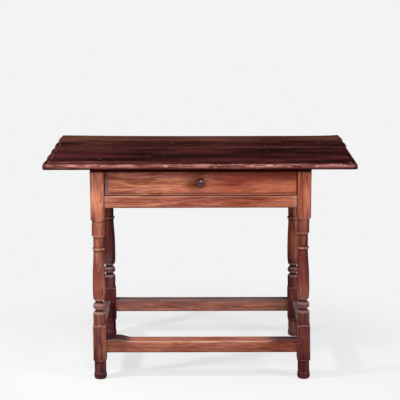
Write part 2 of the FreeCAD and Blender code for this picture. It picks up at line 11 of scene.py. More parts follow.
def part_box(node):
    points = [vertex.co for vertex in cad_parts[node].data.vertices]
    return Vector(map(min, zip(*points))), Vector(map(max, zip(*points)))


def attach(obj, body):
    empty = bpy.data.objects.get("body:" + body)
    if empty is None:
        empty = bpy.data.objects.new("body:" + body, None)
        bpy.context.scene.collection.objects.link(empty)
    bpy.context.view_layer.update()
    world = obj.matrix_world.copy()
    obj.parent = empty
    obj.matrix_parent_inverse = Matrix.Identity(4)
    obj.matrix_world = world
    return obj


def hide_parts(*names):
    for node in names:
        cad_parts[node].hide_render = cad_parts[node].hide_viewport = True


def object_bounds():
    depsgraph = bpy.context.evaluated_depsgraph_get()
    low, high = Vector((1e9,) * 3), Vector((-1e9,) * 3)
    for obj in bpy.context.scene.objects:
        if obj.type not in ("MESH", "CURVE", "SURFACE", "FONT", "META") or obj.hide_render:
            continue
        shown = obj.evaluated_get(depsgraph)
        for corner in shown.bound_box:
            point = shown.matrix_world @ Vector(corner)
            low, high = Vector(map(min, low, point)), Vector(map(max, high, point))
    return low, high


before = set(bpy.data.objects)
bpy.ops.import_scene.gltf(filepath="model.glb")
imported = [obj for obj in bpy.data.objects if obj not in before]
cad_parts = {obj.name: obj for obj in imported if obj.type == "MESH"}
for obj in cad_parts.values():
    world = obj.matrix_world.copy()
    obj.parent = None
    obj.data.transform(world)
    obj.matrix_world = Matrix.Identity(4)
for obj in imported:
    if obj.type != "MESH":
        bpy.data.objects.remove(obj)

bl_info = {
    "name": "Joined Side Table",
    "version": (1, 0, 0),
    "blender": (4, 5, 0),
    "location": "View3D > Sidebar > Table",
    "description": "Builds the finished wood of an old joined side table with one drawer",
    "category": "Add Mesh",
}

MM = 0.001
LEFT, RIGHT = -1, 1
FRONT = -1
cad_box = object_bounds()


def linear(hex_colour):
    """Linear RGBA of an sRGB hex colour."""
    channels = [int(hex_colour[i:i + 2], 16) / 255 for i in (0, 2, 4)]
    return (*[c / 12.92 if c <= 0.04045 else ((c + 0.055) / 1.055) ** 2.4 for c in channels], 1.0)


def length(name, millimetres, description):
    """Property for a size of the table."""
    return FloatProperty(
        name=name, description=description, default=millimetres * MM, unit="LENGTH", precision=5)


def share(name, value, description):
    """Property for a share between 0 and 1."""
    return FloatProperty(name=name, description=description, default=value, min=0, max=1, subtype="FACTOR")


def angle(name, degrees, description):
    """Property for an angle."""
    return FloatProperty(name=name, description=description, default=math.radians(degrees), subtype="ANGLE")


def power(name, watts, description):
    """Property for the power of a lamp."""
    return FloatProperty(name=name, description=description, default=watts, unit="POWER")


def spot(name, place, description):
    """Property for a place in metres."""
    return FloatVectorProperty(
        name=name, description=description, default=place, size=3, subtype="TRANSLATION", unit="LENGTH")


def colour(name, hex_colour, description):
    """Property for a colour of the finish."""
    return FloatVectorProperty(
        name=name, description=description, default=linear(hex_colour), size=4, min=0, max=1, subtype="COLOR")


class TopSettings(bpy.types.PropertyGroup):
    """Sizes of the moulded top and of its wear."""
    edge_width: length("Edge width", 27, "Width of the sunk bed along the front and the back")
    end_width: length("End width", 14.5, "Width of the sunk bed along the ends")
    edge_sink: length("Edge sink", 2.6, "Depth of the bed below the field")
    nose_radius: length("Nose radius", 8, "Radius of the rounded upper edge")
    under_radius: length("Under radius", 2.5, "Radius of the lower edge")
    face_line: length("Face line", 5.5, "Height over the underside down to which the edge is rubbed")
    corner_radius: length("Corner radius", 10, "Radius of the front corners in plan")
    back_corner: length("Back corner", 3, "Radius of the back corners in plan")
    lobe_pitch: length("Lobe pitch", 122, "Spacing of the lobes along the ends")
    lobe_depth: length("Lobe depth", 5.5, "Depth of the notches between the lobes")
    notch_radius: length("Notch radius", 14, "Radius of the notches between the lobes")
    first_notch: length("First notch", 104, "Distance of the first notch from the front edge")
    straight: length("Straight part", 348, "Straight part of the right end, from the front edge")
    back_dip: length("Back dip", 4.2, "How far the back edge is hollowed in the middle")
    ripple: length("Ripple", 0.5, "Depth of the plane marks in the field")
    quirk: length("Quirk", 0.6, "Depth of the line along the field")
    joint_bevel: length("Joint bevel", 0.9, "Depth of the worn edges of the joint between the boards")
    nose_wave: length("Nose wave", 0.35, "How unevenly the nose is worn")
    band: length("Bleached band", 150, "Width of the bleached strip along the back edge")


class LegSettings(bpy.types.PropertyGroup):
    """Sizes of the turned legs."""
    above_stretcher: length("Block above stretcher", 33, "Square part of the leg above the stretchers")
    below_stretcher: length("Block below stretcher", 15.5, "Square part of the leg below the stretchers")
    below_rail: length("Block below rail", 25.5, "Square part of the leg below the rails")
    shoulder_height: length("Shoulder height", 19, "Height over which a block turns round")
    shoulder_round: length("Shoulder round", 13, "Height of the round on a shoulder's corners")
    lip_radius: length("Lip radius", 21.2, "Radius where a shoulder's round ends")
    arris: length("Arris", 1.6, "Radius worn on the corners of the blocks")
    quirk_height: length("Quirk height", 4, "Height of the quirk under the upper block")
    quirk_radius: length("Quirk radius", 19.3, "Radius of the quirk")
    drum_height: length("Drum height", 44, "Height of the drum")
    drum_top_radius: length("Drum top radius", 20, "Radius at the top of the drum")
    drum_radius: length("Drum radius", 20.2, "Largest radius of the drum")
    drum_round: length("Drum round", 9, "Height of the round under the drum")
    neck_height: length("Neck height", 40.7, "Height of the neck")
    neck_radius: length("Neck radius", 15.9, "Radius of the neck")
    ring_height: length("Ring height", 8.5, "Height of the ring")
    ring_radius: length("Ring radius", 19.3, "Radius of the ring")
    waist_below_ring: length("Waist below ring", 15.3, "Distance of the waist below the ring")
    waist_radius: length("Waist radius", 15.9, "Least radius of the baluster")
    middle_radius: length("Middle radius", 18.9, "Radius half way up the baluster")
    belly_radius: length("Belly radius", 19.9, "Largest radius of the baluster")
    belly_share: share("Belly place", 0.19, "Place of the belly between the baluster's base and waist")
    base_round: length("Base round", 12, "Height of the round at the baluster's base")
    base_radius: length("Base radius", 19, "Radius at the baluster's base")
    cup_height: length("Cup height", 42, "Height of the cup over the lower block")
    cup_radius: length("Cup radius", 20.3, "Radius of the cup")
    cup_round: length("Cup round", 9, "Height of the round at the cup's rim")
    notch_height: length("Notch height", 5, "Height of the notches beside the bead")
    notch_radius: length("Notch radius", 12, "Radius in the notches")
    bead_height: length("Bead height", 23, "Height of the bead")
    bead_radius: length("Bead radius", 20.1, "Radius of the bead")
    sole_radius: length("Sole radius", 16, "Radius of the foot on the floor")
    bun_height: length("Bun height", 24, "Height of the bun foot")
    bun_radius: length("Bun radius", 20.8, "Radius of the bun foot")
    foot_notch_radius: length("Foot notch radius", 18.1, "Radius of the line over the bun foot")
    collar_height: length("Collar height", 26, "Height of the collar over the bun foot")
    collar_radius: length("Collar radius", 19.1, "Radius of the collar")
    ankle_radius: length("Ankle radius", 18.7, "Radius of the ankle")
    unevenness: length("Unevenness", 2, "How far the turnings of one leg lie from those of another")
    girth: length("Girth", 3, "How far the rear left leg is thicker over its bead")
    drop: length("Drop", 6, "How much further down the front left leg's upper block and drum reach")
    block_wear: length("Block wear", 1, "How far each side of the lower blocks is worn in")
    lean: length("Lean", 6.8, "How far the right legs stand out at the floor")
    lean_start: length("Lean start", 395, "Height under which the right legs stand out")
    set_in: length("Set in", 3.2, "How far the rear left leg stands in at the floor")
    sway: length("Sway", 0.5, "How far the turner's axis wanders")
    flats: length("Flats", 0.35, "Depth of the unevenness that the turner left")
    plane_marks: length("Plane marks", 0.22, "Depth of the unevenness on the blocks")


class BarSettings(bpy.types.PropertyGroup):
    """Sizes of the worn edges of rails, stretchers and boards."""
    arris: length("Arris", 1.8, "Radius worn on the long corners")
    foot_wear: length("Foot wear", 6, "How far feet have worn down the front of the front stretcher's top")
    wear_start: length("Wear start", -268, "Left end of the worn stretch of the front stretcher")
    wear_end: length("Wear end", 238, "Right end of the worn stretch of the front stretcher")
    left_rise: length("Left rise", 8, "How much higher the front stretcher's unworn back stands on the left")
    wear_left: length("Wear, left", 55, "Length over which the worn stretch of a stretcher begins")
    wear_right: length("Wear, right", 30, "Length over which the worn stretch of a stretcher ends")
    unworn_end: length("Unworn end", 40, "Length of a stretcher's ends that no foot has reached")
    rise_end: length("Rise end", -226, "Right end of the unworn back of the front stretcher's top")
    rise_run: length("Rise run", 36, "Length over which the unworn back rises")
    rear_lift: length("Rear lift", 3, "How much higher the rear stretcher sits")
    rail_drop: length("Rail drop", 2.4, "How much lower the front rail and the drawer's lower edge sit")
    tuck: length("Tuck", 1.6, "How far the stretchers run into the worn legs")
    board_arris: length("Board arris", 1.0, "Bevel on the edges of the drawer and its runners")


class KnobSettings(bpy.types.PropertyGroup):
    """Sizes of the turned knob."""
    radius: length("Radius", 15, "Largest radius of the knob")
    stem_radius: length("Stem radius", 7, "Radius of the stem")
    foot_radius: length("Foot radius", 9, "Radius of the foot on the drawer front")
    foot_length: length("Foot length", 3, "Length of the foot")
    stem_length: length("Stem length", 8, "Distance from the drawer front to the head")
    head_start: length("Head start", 15, "Distance from the drawer front to the widest part")
    tip_radius: length("Tip radius", 2, "Radius of the flat tip")
    shank_radius: length("Shank radius", 6, "Radius of the shank in the drawer front")
    sag: length("Sag", 2.4, "How much lower the knob sits than the middle of its shank")


class FinishSettings(bpy.types.PropertyGroup):
    """Colours of the finishes."""
    oak_pale_dark: colour("Pale oak, dark grain", "A25640", "Dark grain where the frame has faded")
    oak_pale_light: colour("Pale oak, light grain", "EA9A72", "Light grain where the frame has faded")
    oak_deep_dark: colour("Deep oak, dark grain", "2E1216", "Dark grain where the stain has stayed")
    oak_deep_light: colour("Deep oak, light grain", "643237", "Light grain where the stain has stayed")
    oak_red: colour("Oak, red stain", "A84A30", "Red stain where the frame has faded")
    oak_deep_red: colour("Oak, deep red stain", "4A171B", "Red stain where the frame has kept its colour")
    # Also the painted sheen on upward faces and on the crests of the turnings
    bloom_and_sheen: colour("Wax bloom", "A08484", "Grey bloom of dust and wax on upper sides")
    oak_smoke: colour("Oak, smoked", "582B22", "Brown clouds of old dirt along the grain")
    oak_rose: colour("Oak, rosy", "BC7A70", "Rosy mottle of the stain where the frame has faded")
    oak_deep_rose: colour("Oak, deep rose", "5E3439", "Rosy mottle where the frame has kept its colour")
    oak_fleck: colour("Oak, flecks", "F4AC7E", "Pale flecks of the rays where the frame has faded")
    oak_worn: colour("Oak, worn", "E6B6A0", "Bare wood on worn corners")
    # This colour is also laid as painted shade: the top's shadow, gaps, lower edges and contact shade by the
    # turnings
    grime: colour("Grime", "2A0A08", "Old wax and dirt in hollows")
    top_dark: colour("Top, dark", "230E11", "Darkest grain of the top")
    top_light: colour("Top, light", "663331", "Lighter grain of the top")
    top_soot: colour("Top, sooty", "1B1113", "Nearly black patches of old wax")
    top_band_dark: colour("Top band, dark", "4C2A22", "Dark grain of the bleached band")
    top_band_light: colour("Top band, light", "8A5648", "Light grain of the bleached band")
    # The rubbed and worn colours of the nose also stand for a painted highlight on it
    top_rubbed_and_highlight: colour("Top, rubbed", "6E3A34", "Brown wood of the rubbed nose")
    top_worn_and_highlight: colour("Top, worn", "BC8076", "Pale streaks on the worn nose of the top")
    top_chip: colour("Top, chipped", "DCB0A4", "Small chips in the nose of the top")
    raw_dark: colour("Raw wood, dark", "5E3E2C", "Dark grain of unfinished wood")
    raw_light: colour("Raw wood, light", "A87E5E", "Light grain of unfinished wood")
    peg_dark: colour("Peg, dark", "7C4232", "Dark end grain of the pegs")
    peg_light: colour("Peg, light", "A8664E", "Light end grain of the pegs")
    knob_dark: colour("Knob, dark", "220C0C", "Darkest wood of the knob")
    knob_light: colour("Knob, light", "5C2824", "Lighter wood of the knob")
    iron_dark: colour("Iron, dark", "1D1A18", "Blackened iron")
    iron_rust: colour("Iron, rust", "5A3220", "Rust on the iron")
    paper: colour("Paper", "F3F3F3", "Pale floor and backdrop")
    paper_near: colour("Paper by the table", "F9F9F9", "Paper round the table, in its shadow")
    paper_bounce: colour("Paper bounce", "A8A8A8", "Paper as it throws light back at the table")


class StageSettings(bpy.types.PropertyGroup):
    """Camera, lamps and floor."""
    camera_x: length("Camera X", -2.2, "Camera's distance to the right of the middle")
    camera_y: length("Camera Y", -4372, "Camera's distance behind the middle")
    camera_z: length("Camera Z", 1428.1, "Camera's height over the floor")
    tilt: angle("Tilt", 11.451, "Camera's angle below the horizon")
    roll: angle("Roll", -0.12, "Camera's turn about its own axis")
    lens: FloatProperty(name="Lens", description="Focal length in millimetres", default=120.06, unit="CAMERA")
    sensor: FloatProperty(name="Sensor", description="Sensor width in millimetres", default=36, unit="CAMERA")
    sight: length("Sight", 400000, "Distance past which the camera sees nothing")
    floor_size: length("Floor size", 300000, "Width of the floor")
    front_power: power("Front power", 74, "Power of the broad front lamp")
    front_size: length("Front size", 1300, "Width of the broad front lamp")
    front_place: spot("Front place", (0.2, -3.5, 1.9), "Place of the broad front lamp")
    left_power: power("Left power", 26, "Power of the small left lamp")
    left_size: length("Left size", 180, "Width of the small left lamp")
    left_place: spot("Left place", (-1.5, -0.8, 1.43), "Place of the small left lamp")
    right_power: power("Right power", 21, "Power of the right lamp")
    right_size: length("Right size", 350, "Width of the right lamp")
    right_place: spot("Right place", (1.95, -1.25, 1.12), "Place of the right lamp")
    lamp_aim: spot("Lamp aim", (0, 0, 0.45), "Place that the lamps point at")
    ambient: share("Ambient", 0.2, "Level of the light from all round")
    shadow: share("Shadow", 0.32, "How much of the floor's shading the camera sees")
    shadow_start: length("Shadow start", 450, "Distance from the middle where the shadow begins to fade")
    shadow_end: length("Shadow end", 1000, "Distance from the middle where the shadow has faded")


def smooth_step(low, high, value):
    """0 below low, 1 above high and a smooth rise between."""
    t = min(max((value - low) / (high - low), 0.0), 1.0)
    return t * t * (3 - 2 * t)


def wander(x, y, z, seed):
    """Smooth random value between about -1 and 1. Each seed reads a place of its own in the noise."""
    return noise.noise(Vector((x + 17.3 * seed, y - 9.1 * seed, z + 5.7 * seed)))


def patchy(x, y, z, seed):
    """Smooth random value between about 0 and 1."""
    return 0.5 + 0.5 * wander(x, y, z, seed)


def round_circle(count):
    """Cosine and sine of directions evenly round a circle."""
    turns = [2 * math.pi * i / count for i in range(count)]
    return [(math.cos(turn), math.sin(turn)) for turn in turns]


SHARP_ANGLE = math.radians(38)
WELD = 0.01 * MM


class Shell:
    """Mesh in the making: points with what the finishes read at each of them."""

    def __init__(self, grain_axis, seed):
        self.points = []
        self.faces = []
        self.wear = []
        self.grime = []
        self.tone = []
        self.stain = []
        self.axis = "xyz".index(grain_axis)
        self.seed = seed

    def add(self, point, wear=0.0, grime=0.0, tone=0.5, stain=0.0):
        self.points.append(Vector(point))
        self.wear.append(wear)
        self.grime.append(grime)
        self.tone.append(min(max(tone, 0.0), 1.0))
        self.stain.append(stain)
        return len(self.points) - 1

    def bridge(self, ring, following):
        """Quads between two closed rings of the same count."""
        count = len(ring)
        for i in range(count):
            j = (i + 1) % count
            self.faces.append((ring[i], ring[j], following[j], following[i]))

    def cap(self, ring):
        """Fan over a closed ring."""
        around = len(ring)
        middle = sum((self.points[i] for i in ring), Vector()) / around
        hub = self.add(middle, 0.0, self.grime[ring[0]], self.tone[ring[0]], self.stain[ring[0]])
        for i in range(around):
            self.faces.append((ring[i], ring[(i + 1) % around], hub))

    def loft(self, rings):
        """Closed skin through rings of the same count."""
        for ring, following in zip(rings, rings[1:]):
            self.bridge(ring, following)
        self.cap(rings[0])
        self.cap(rings[-1])

    def piece(self, name, material, body, slot, *nodes):
        """Object of the finished mesh, which stands for CAD nodes on a body."""
        mesh = bpy.data.meshes.new(name)
        mesh.from_pydata(self.points, [], self.faces)
        dress(mesh, self.axis, self.seed, self.wear, self.grime, self.tone, self.stain)
        return placed(name, mesh, material, body, slot, *nodes)


def dress(mesh, axis, seed, wear, grime, tone, stain):
    """Gives a mesh outward faces, soft shading and the attributes that the finishes read."""
    bm = bmesh.new()
    bm.from_mesh(mesh)
    bmesh.ops.recalc_face_normals(bm, faces=bm.faces)
    bm.to_mesh(mesh)
    bm.free()
    offset = Vector((1.31 * seed, 0.77 * seed, 0.53 * seed))
    order = (axis, (axis + 1) % 3, (axis + 2) % 3)
    grain = [c for v in mesh.vertices for c in Vector([v.co[i] for i in order]) + offset]
    mesh.attributes.new("grain", "FLOAT_VECTOR", "POINT").data.foreach_set("vector", grain)
    for key, values in (("wear", wear), ("grime", grime), ("tone", tone), ("stain", stain)):
        mesh.attributes.new(key, "FLOAT", "POINT").data.foreach_set("value", values)
    mesh.polygons.foreach_set("use_smooth", [True] * len(mesh.polygons))
    mesh.set_sharp_from_angle(angle=SHARP_ANGLE)


def placed(name, mesh, material, body, slot, *nodes):
    """Object for a mesh, riding on a body in place of CAD nodes."""
    obj = bpy.data.objects.new(name, mesh)
    bpy.context.scene.collection.objects.link(obj)
    mesh.materials.clear()
    mesh.materials.append(material)
    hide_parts(*nodes)
    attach(obj, body)
    return obj


def add_node(tree, kind, sockets=None, **settings):
    """Adds a node, sets its settings and fills its sockets with values or with links."""
    made = tree.nodes.new(kind)
    for key, value in settings.items():
        setattr(made, key, value)
    for key, value in (sockets or {}).items():
        if isinstance(value, bpy.types.NodeSocket):
            tree.links.new(value, made.inputs[key])
        else:
            made.inputs[key].default_value = value
    return made


def overlaid(tree, base, *layers):
    """Colours laid over a base in turn, each through the product of its masks."""
    for layer, cover, *masks in layers:
        for mask in masks:
            cover = add_node(tree, "ShaderNodeMath", {0: cover, 1: mask}, operation="MULTIPLY").outputs[0]
        base = add_node(tree, "ShaderNodeMix", {0: cover, 6: base, 7: layer}, data_type="RGBA").outputs[2]
    return base


def grain_noise(tree, grain, along_mm, across_mm, low, high, detail=3.0):
    """Streaks of a real length and width along the grain, spread to run from 0 to 1."""
    scale = (1 / (along_mm * MM), 1 / (across_mm * MM), 1 / (across_mm * MM))
    place = add_node(tree, "ShaderNodeMapping", {"Vector": grain, "Scale": scale})
    cloud = add_node(tree, "ShaderNodeTexNoise", {"Vector": place.outputs[0], "Scale": 1.0, "Detail": detail})
    spread = add_node(
        tree, "ShaderNodeMapRange", {"Value": cloud.outputs[0], "From Min": low, "From Max": high},
        interpolation_type="SMOOTHSTEP")
    return spread.outputs[0]


def new_material(name, *carried):
    """Empty material, its nodes, and an output for each of the values that the meshes carry."""
    material = bpy.data.materials.get(name) or bpy.data.materials.new(name)
    material.use_nodes = True
    tree = material.node_tree
    tree.nodes.clear()
    outputs = []
    for key in carried:
        reader = add_node(tree, "ShaderNodeAttribute", attribute_name=key)
        outputs.append(reader.outputs["Vector" if key == "grain" else "Fac"])
    return material, tree, *outputs


def finish_surface(tree, base, rough_value, rough_range, height, depth_mm, specular, metallic=0.0):
    """Surface whose roughness follows a pattern through a range, with a bump of a real depth."""
    rough = add_node(tree, "ShaderNodeMapRange", {
        "Value": rough_value, "To Min": rough_range[0], "To Max": rough_range[1]})
    bump = add_node(tree, "ShaderNodeBump", {"Height": height, "Strength": 0.7, "Distance": depth_mm * MM})
    surface = add_node(tree, "ShaderNodeBsdfPrincipled", {
        "Base Color": base, "Roughness": rough.outputs[0], "Normal": bump.outputs[0],
        "Specular IOR Level": specular, "Metallic": metallic})
    add_node(tree, "ShaderNodeOutputMaterial", {"Surface": surface.outputs[0]})


def background_seen(tree):
    """1 for the rays that show the background: from the camera, off a gloss or through a glass."""
    path = add_node(tree, "ShaderNodeLightPath")
    seen = path.outputs["Is Camera Ray"]
    for ray in ("Is Glossy Ray", "Is Transmission Ray"):
        either = add_node(tree, "ShaderNodeMath", {0: seen, 1: path.outputs[ray]}, operation="MAXIMUM")
        seen = either.outputs[0]
    return seen


def waxed_oak(finish):
    """Oak, planed and turned by hand, then stained, waxed and rubbed for centuries.

    The eye gets long streaks of light and dark grain, dark open pores, red patches of stain,
    pale rubbed corners, grey dust and a painted sheen on upper sides, black wax in hollows, and painted
    shade under the top, in gaps and along lower edges, all of it dull.
    """
    material, tree, grain, tone, stain, wear, grime = new_material(
        "waxed_oak", "grain", "tone", "stain", "wear", "grime")
    streak = grain_noise(tree, grain, 420, 12, 0.34, 0.66, 5.0)
    flame = grain_noise(tree, grain, 150, 34, 0.36, 0.64, 2.0)
    # Real pores are about 0.3 mm wide; they are drawn at 2.4 mm so that they show from a few metres.
    pores = grain_noise(tree, grain, 46, 2.4, 0.52, 0.68, 2.0)
    rub = grain_noise(tree, grain, 110, 6, 0.3, 0.62, 3.0)
    patch = grain_noise(tree, grain, 190, 60, 0.46, 0.7, 2.0)
    smoke = grain_noise(tree, grain, 200, 20, 0.48, 0.68, 4.0)
    mottle = grain_noise(tree, grain, 100, 6.5, 0.34, 0.66, 3.0)
    rosy = grain_noise(tree, grain, 120, 15, 0.42, 0.62, 3.0)
    dark = overlaid(tree, finish.oak_deep_dark, (finish.oak_pale_dark, tone))
    light = overlaid(tree, finish.oak_deep_light, (finish.oak_pale_light, tone))
    red = overlaid(tree, finish.oak_deep_red, (finish.oak_red, tone))
    rose = overlaid(tree, finish.oak_deep_rose, (finish.oak_rose, tone))
    figure = add_node(tree, "ShaderNodeMix", {0: 0.42, 2: streak, 3: flame}).outputs[0]
    figure = add_node(tree, "ShaderNodeMix", {0: 0.45, 2: figure, 3: mottle}).outputs[0]
    figure = add_node(tree, "ShaderNodeMapRange", {
        "Value": figure, "From Min": 0.22, "From Max": 0.78}).outputs[0]
    fleck = grain_noise(tree, grain, 34, 4.5, 0.52, 0.66, 2.0)
    # A stain below zero stands for dust, whose grey also serves as a painted sheen on the crests of the
    # turnings and the tops of the stretchers
    dust_and_sheen = add_node(
        tree, "ShaderNodeMath", {0: stain, 1: -1.0}, operation="MULTIPLY", use_clamp=True).outputs[0]
    reddened = add_node(
        tree, "ShaderNodeMath", {0: patch, 1: 0.4, 2: stain}, operation="MULTIPLY_ADD",
        use_clamp=True).outputs[0]
    normal = add_node(tree, "ShaderNodeNewGeometry").outputs["Normal"]
    facing = add_node(tree, "ShaderNodeSeparateXYZ", {0: normal})
    # Faces turned upwards get the grey bloom, more where the wood is deep: a painted sheen
    upper = add_node(tree, "ShaderNodeMapRange", {
        "Value": facing.outputs["Z"], "From Min": 0.25, "From Max": 0.95, "To Max": 0.26}).outputs[0]
    dull = add_node(tree, "ShaderNodeMath", {0: 1.0, 1: tone}, operation="SUBTRACT").outputs[0]
    base = overlaid(
        tree, dark, (light, figure), (finish.oak_fleck, fleck, tone, 0.4), (rose, rosy, 0.6),
        (red, reddened, 0.8), (finish.oak_smoke, smoke, 0.5), (finish.oak_deep_dark, pores, 0.55),
        (finish.oak_worn, wear, rub, 0.85), (finish.bloom_and_sheen, upper, dull), (finish.bloom_and_sheen, dust_and_sheen),
        (finish.grime, grime))
    height = add_node(
        tree, "ShaderNodeMath", {0: pores, 1: -0.6, 2: streak}, operation="MULTIPLY_ADD").outputs[0]
    finish_surface(tree, base, streak, (0.5, 0.38), height, 0.35, 0.0)
    return material


def patinated_top(finish):
    """Oak boards, planed by hand and nearly black with old wax and handling.

    The eye gets a dull dark brown with long faint grain, sooty patches, a browner strip at the back that
    light has bleached, a rubbed nose that is pale partly from wear and partly from a painted highlight,
    with pale chips, small pale scratches, black wax and painted shade in the quirk, and painted shade
    under the nose.
    """
    material, tree, grain, tone, wear, grime = new_material(
        "patinated_oak_top", "grain", "tone", "wear", "grime")
    streak = grain_noise(tree, grain, 520, 16, 0.34, 0.66, 5.0)
    cloud = grain_noise(tree, grain, 230, 60, 0.36, 0.66, 4.0)
    fine = grain_noise(tree, grain, 120, 3.0, 0.5, 0.7, 2.0)
    rubbing = grain_noise(tree, grain, 70, 5, 0.4, 0.66, 4.0)
    chips = grain_noise(tree, grain, 22, 6, 0.6, 0.68, 3.0)
    scratch = grain_noise(tree, grain, 16, 5, 0.685, 0.73, 2.0)
    soot = grain_noise(tree, grain, 340, 110, 0.46, 0.64, 3.0)
    dark = overlaid(tree, finish.top_dark, (finish.top_band_dark, tone))
    light = overlaid(tree, finish.top_light, (finish.top_band_light, tone))
    figure = add_node(tree, "ShaderNodeMix", {0: 0.5, 2: streak, 3: cloud}).outputs[0]
    dull = add_node(tree, "ShaderNodeMath", {0: 1.0, 1: tone}, operation="SUBTRACT").outputs[0]
    base = overlaid(
        tree, dark, (light, figure), (finish.top_soot, soot, dull, 0.7), (finish.top_dark, fine, 0.45),
        (finish.top_worn_and_highlight, scratch, 0.8), (finish.top_rubbed_and_highlight, wear), (finish.top_worn_and_highlight, wear, rubbing),
        (finish.top_chip, wear, chips, 0.8), (finish.grime, grime))
    height = add_node(
        tree, "ShaderNodeMath", {0: fine, 1: -0.5, 2: streak}, operation="MULTIPLY_ADD").outputs[0]
    finish_surface(tree, base, cloud, (0.64, 0.55), height, 0.3, 0.0)
    return material


def raw_wood(finish):
    """Pine and oak left from the saw and the plane, never finished.

    The eye gets a dry dull brown with plain stripes, darker where hands and dust have been.
    """
    material, tree, grain, wear, grime = new_material("raw_sawn_wood", "grain", "wear", "grime")
    streak = grain_noise(tree, grain, 380, 9, 0.34, 0.66, 4.0)
    dust = grain_noise(tree, grain, 150, 60, 0.4, 0.7, 3.0)
    fine = grain_noise(tree, grain, 60, 2.4, 0.52, 0.72, 2.0)
    base = overlaid(
        tree, finish.raw_dark, (finish.raw_light, streak), (finish.raw_dark, dust, 0.5),
        (finish.peg_dark, fine, 0.3), (finish.raw_light, wear, 0.35), (finish.grime, grime))
    finish_surface(tree, base, dust, (0.72, 0.86), streak, 0.4, 0.3)
    return material


def cleft_peg(finish):
    """Oak pegs, cleft and whittled, rubbed level with the wood round them.

    The eye gets small rounds of end grain, speckled dark and a little paler than the frame.
    """
    material, tree, tone = new_material("cleft_oak_peg", "tone")
    place = add_node(tree, "ShaderNodeTexCoord").outputs["Object"]
    speckle = grain_noise(tree, place, 2.0, 2.0, 0.4, 0.62, 2.0)
    patch = grain_noise(tree, place, 9, 9, 0.36, 0.66, 2.0)
    dark = overlaid(tree, finish.oak_deep_dark, (finish.peg_dark, tone))
    light = overlaid(tree, finish.oak_deep_light, (finish.peg_light, tone))
    base = overlaid(tree, dark, (light, speckle), (light, patch, 0.5))
    finish_surface(tree, base, speckle, (0.6, 0.45), speckle, 0.2, 0.1)
    return material


def polished_knob(finish):
    """Fruitwood, turned and polished black by hands.

    The eye gets a dark glossy knob with faint brown grain and sharp small highlights.
    """
    material, tree, grain, grime = new_material("polished_fruitwood_knob", "grain", "grime")
    streak = grain_noise(tree, grain, 30, 3.0, 0.36, 0.66, 3.0)
    base = overlaid(tree, finish.knob_dark, (finish.knob_light, streak), (finish.grime, grime))
    finish_surface(tree, base, streak, (0.08, 0.12), streak, 0.02, 0.4)
    return material


def forged_iron(finish):
    """Nails forged by hand, black with scale and brown with rust.

    The eye gets dark rough metal with rusty patches.
    """
    material, tree = new_material("forged_iron_nail")
    place = add_node(tree, "ShaderNodeTexCoord").outputs["Object"]
    rust = grain_noise(tree, place, 3.0, 3.0, 0.42, 0.64, 4.0)
    bare = add_node(tree, "ShaderNodeMapRange", {"Value": rust, "To Min": 0.9, "To Max": 0.2}).outputs[0]
    base = overlaid(tree, finish.iron_dark, (finish.iron_rust, rust))
    finish_surface(tree, base, rust, (0.5, 0.85), rust, 0.3, 0.5, bare)
    return material


def backdrop_paper(finish, stage):
    """Matt seamless paper, rolled out under the table.

    The eye gets an even pale ground with only a breath of the table's shadow.
    """
    material, tree = new_material("matt_paper")
    seen = background_seen(tree)
    matt = add_node(tree, "ShaderNodeBsdfDiffuse", {
        "Color": overlaid(tree, finish.paper_bounce, (finish.paper_near, seen))})
    near = add_node(tree, "ShaderNodeEmission", {"Color": finish.paper_near, "Strength": 1.0})
    far = add_node(tree, "ShaderNodeEmission", {"Color": finish.paper, "Strength": 1.0})
    place = add_node(tree, "ShaderNodeTexCoord").outputs["Object"]
    distance = add_node(tree, "ShaderNodeVectorMath", {0: place}, operation="LENGTH").outputs["Value"]
    fade = add_node(tree, "ShaderNodeMapRange", {
        "Value": distance, "From Min": stage.shadow_start, "From Max": stage.shadow_end},
        interpolation_type="SMOOTHSTEP").outputs[0]
    lit = add_node(tree, "ShaderNodeMath", {0: seen, 1: 1 - stage.shadow}, operation="MULTIPLY").outputs[0]
    plain = add_node(tree, "ShaderNodeMath", {0: seen, 1: fade}, operation="MULTIPLY").outputs[0]
    shaded = add_node(tree, "ShaderNodeMixShader", {0: lit, 1: matt.outputs[0], 2: near.outputs[0]})
    mixed = add_node(tree, "ShaderNodeMixShader", {0: plain, 1: shaded.outputs[0], 2: far.outputs[0]})
    add_node(tree, "ShaderNodeOutputMaterial", {"Surface": mixed.outputs[0]})
    return material


def settings_of(context):
    """Settings of the table in the open scene."""
    return context.scene.side_table


def quarter(start, end, steps):
    """Points of a convex quarter round between two (height, radius) points, without the first."""
    wide, narrow = (start, end) if start[1] > end[1] else (end, start)
    turns = [i / steps * math.pi / 2 for i in range(1, steps + 1)]
    if wide is not start:
        turns = [math.pi / 2 - t for t in turns]
    return [(wide[0] + (narrow[0] - wide[0]) * math.sin(t), narrow[1] + (wide[1] - narrow[1]) * math.cos(t))
            for t in turns]


def bead(start, end, steps, radius):
    """Points of a round moulding between two (height, radius) points, without the first."""
    points = []
    for i in range(1, steps + 1):
        t = i / steps
        base = start[1] + (end[1] - start[1]) * t
        points.append((
            start[0] + (end[0] - start[0]) * (1 - math.cos(math.pi * t)) / 2,
            base + (radius - base) * math.sin(math.pi * t)))
    return points


def through(start, end, steps, *between):
    """Points of a smooth curve from one (height, radius) point through others, without the first."""
    points = [start, *between, end]
    curve = []
    last = len(points) - 1
    for i in range(last):
        before, start = Vector(points[max(i - 1, 0)]), Vector(points[i])
        end, after = Vector(points[i + 1]), Vector(points[min(i + 2, last)])
        for step in range(1, steps + 1):
            t = step / steps
            curve.append(tuple(
                0.5 * ((2 * start) + (end - before) * t + (2 * before - 5 * start + 4 * end - after) * t ** 2
                       + (3 * start - before - 3 * end + after) * t ** 3)))
    return curve


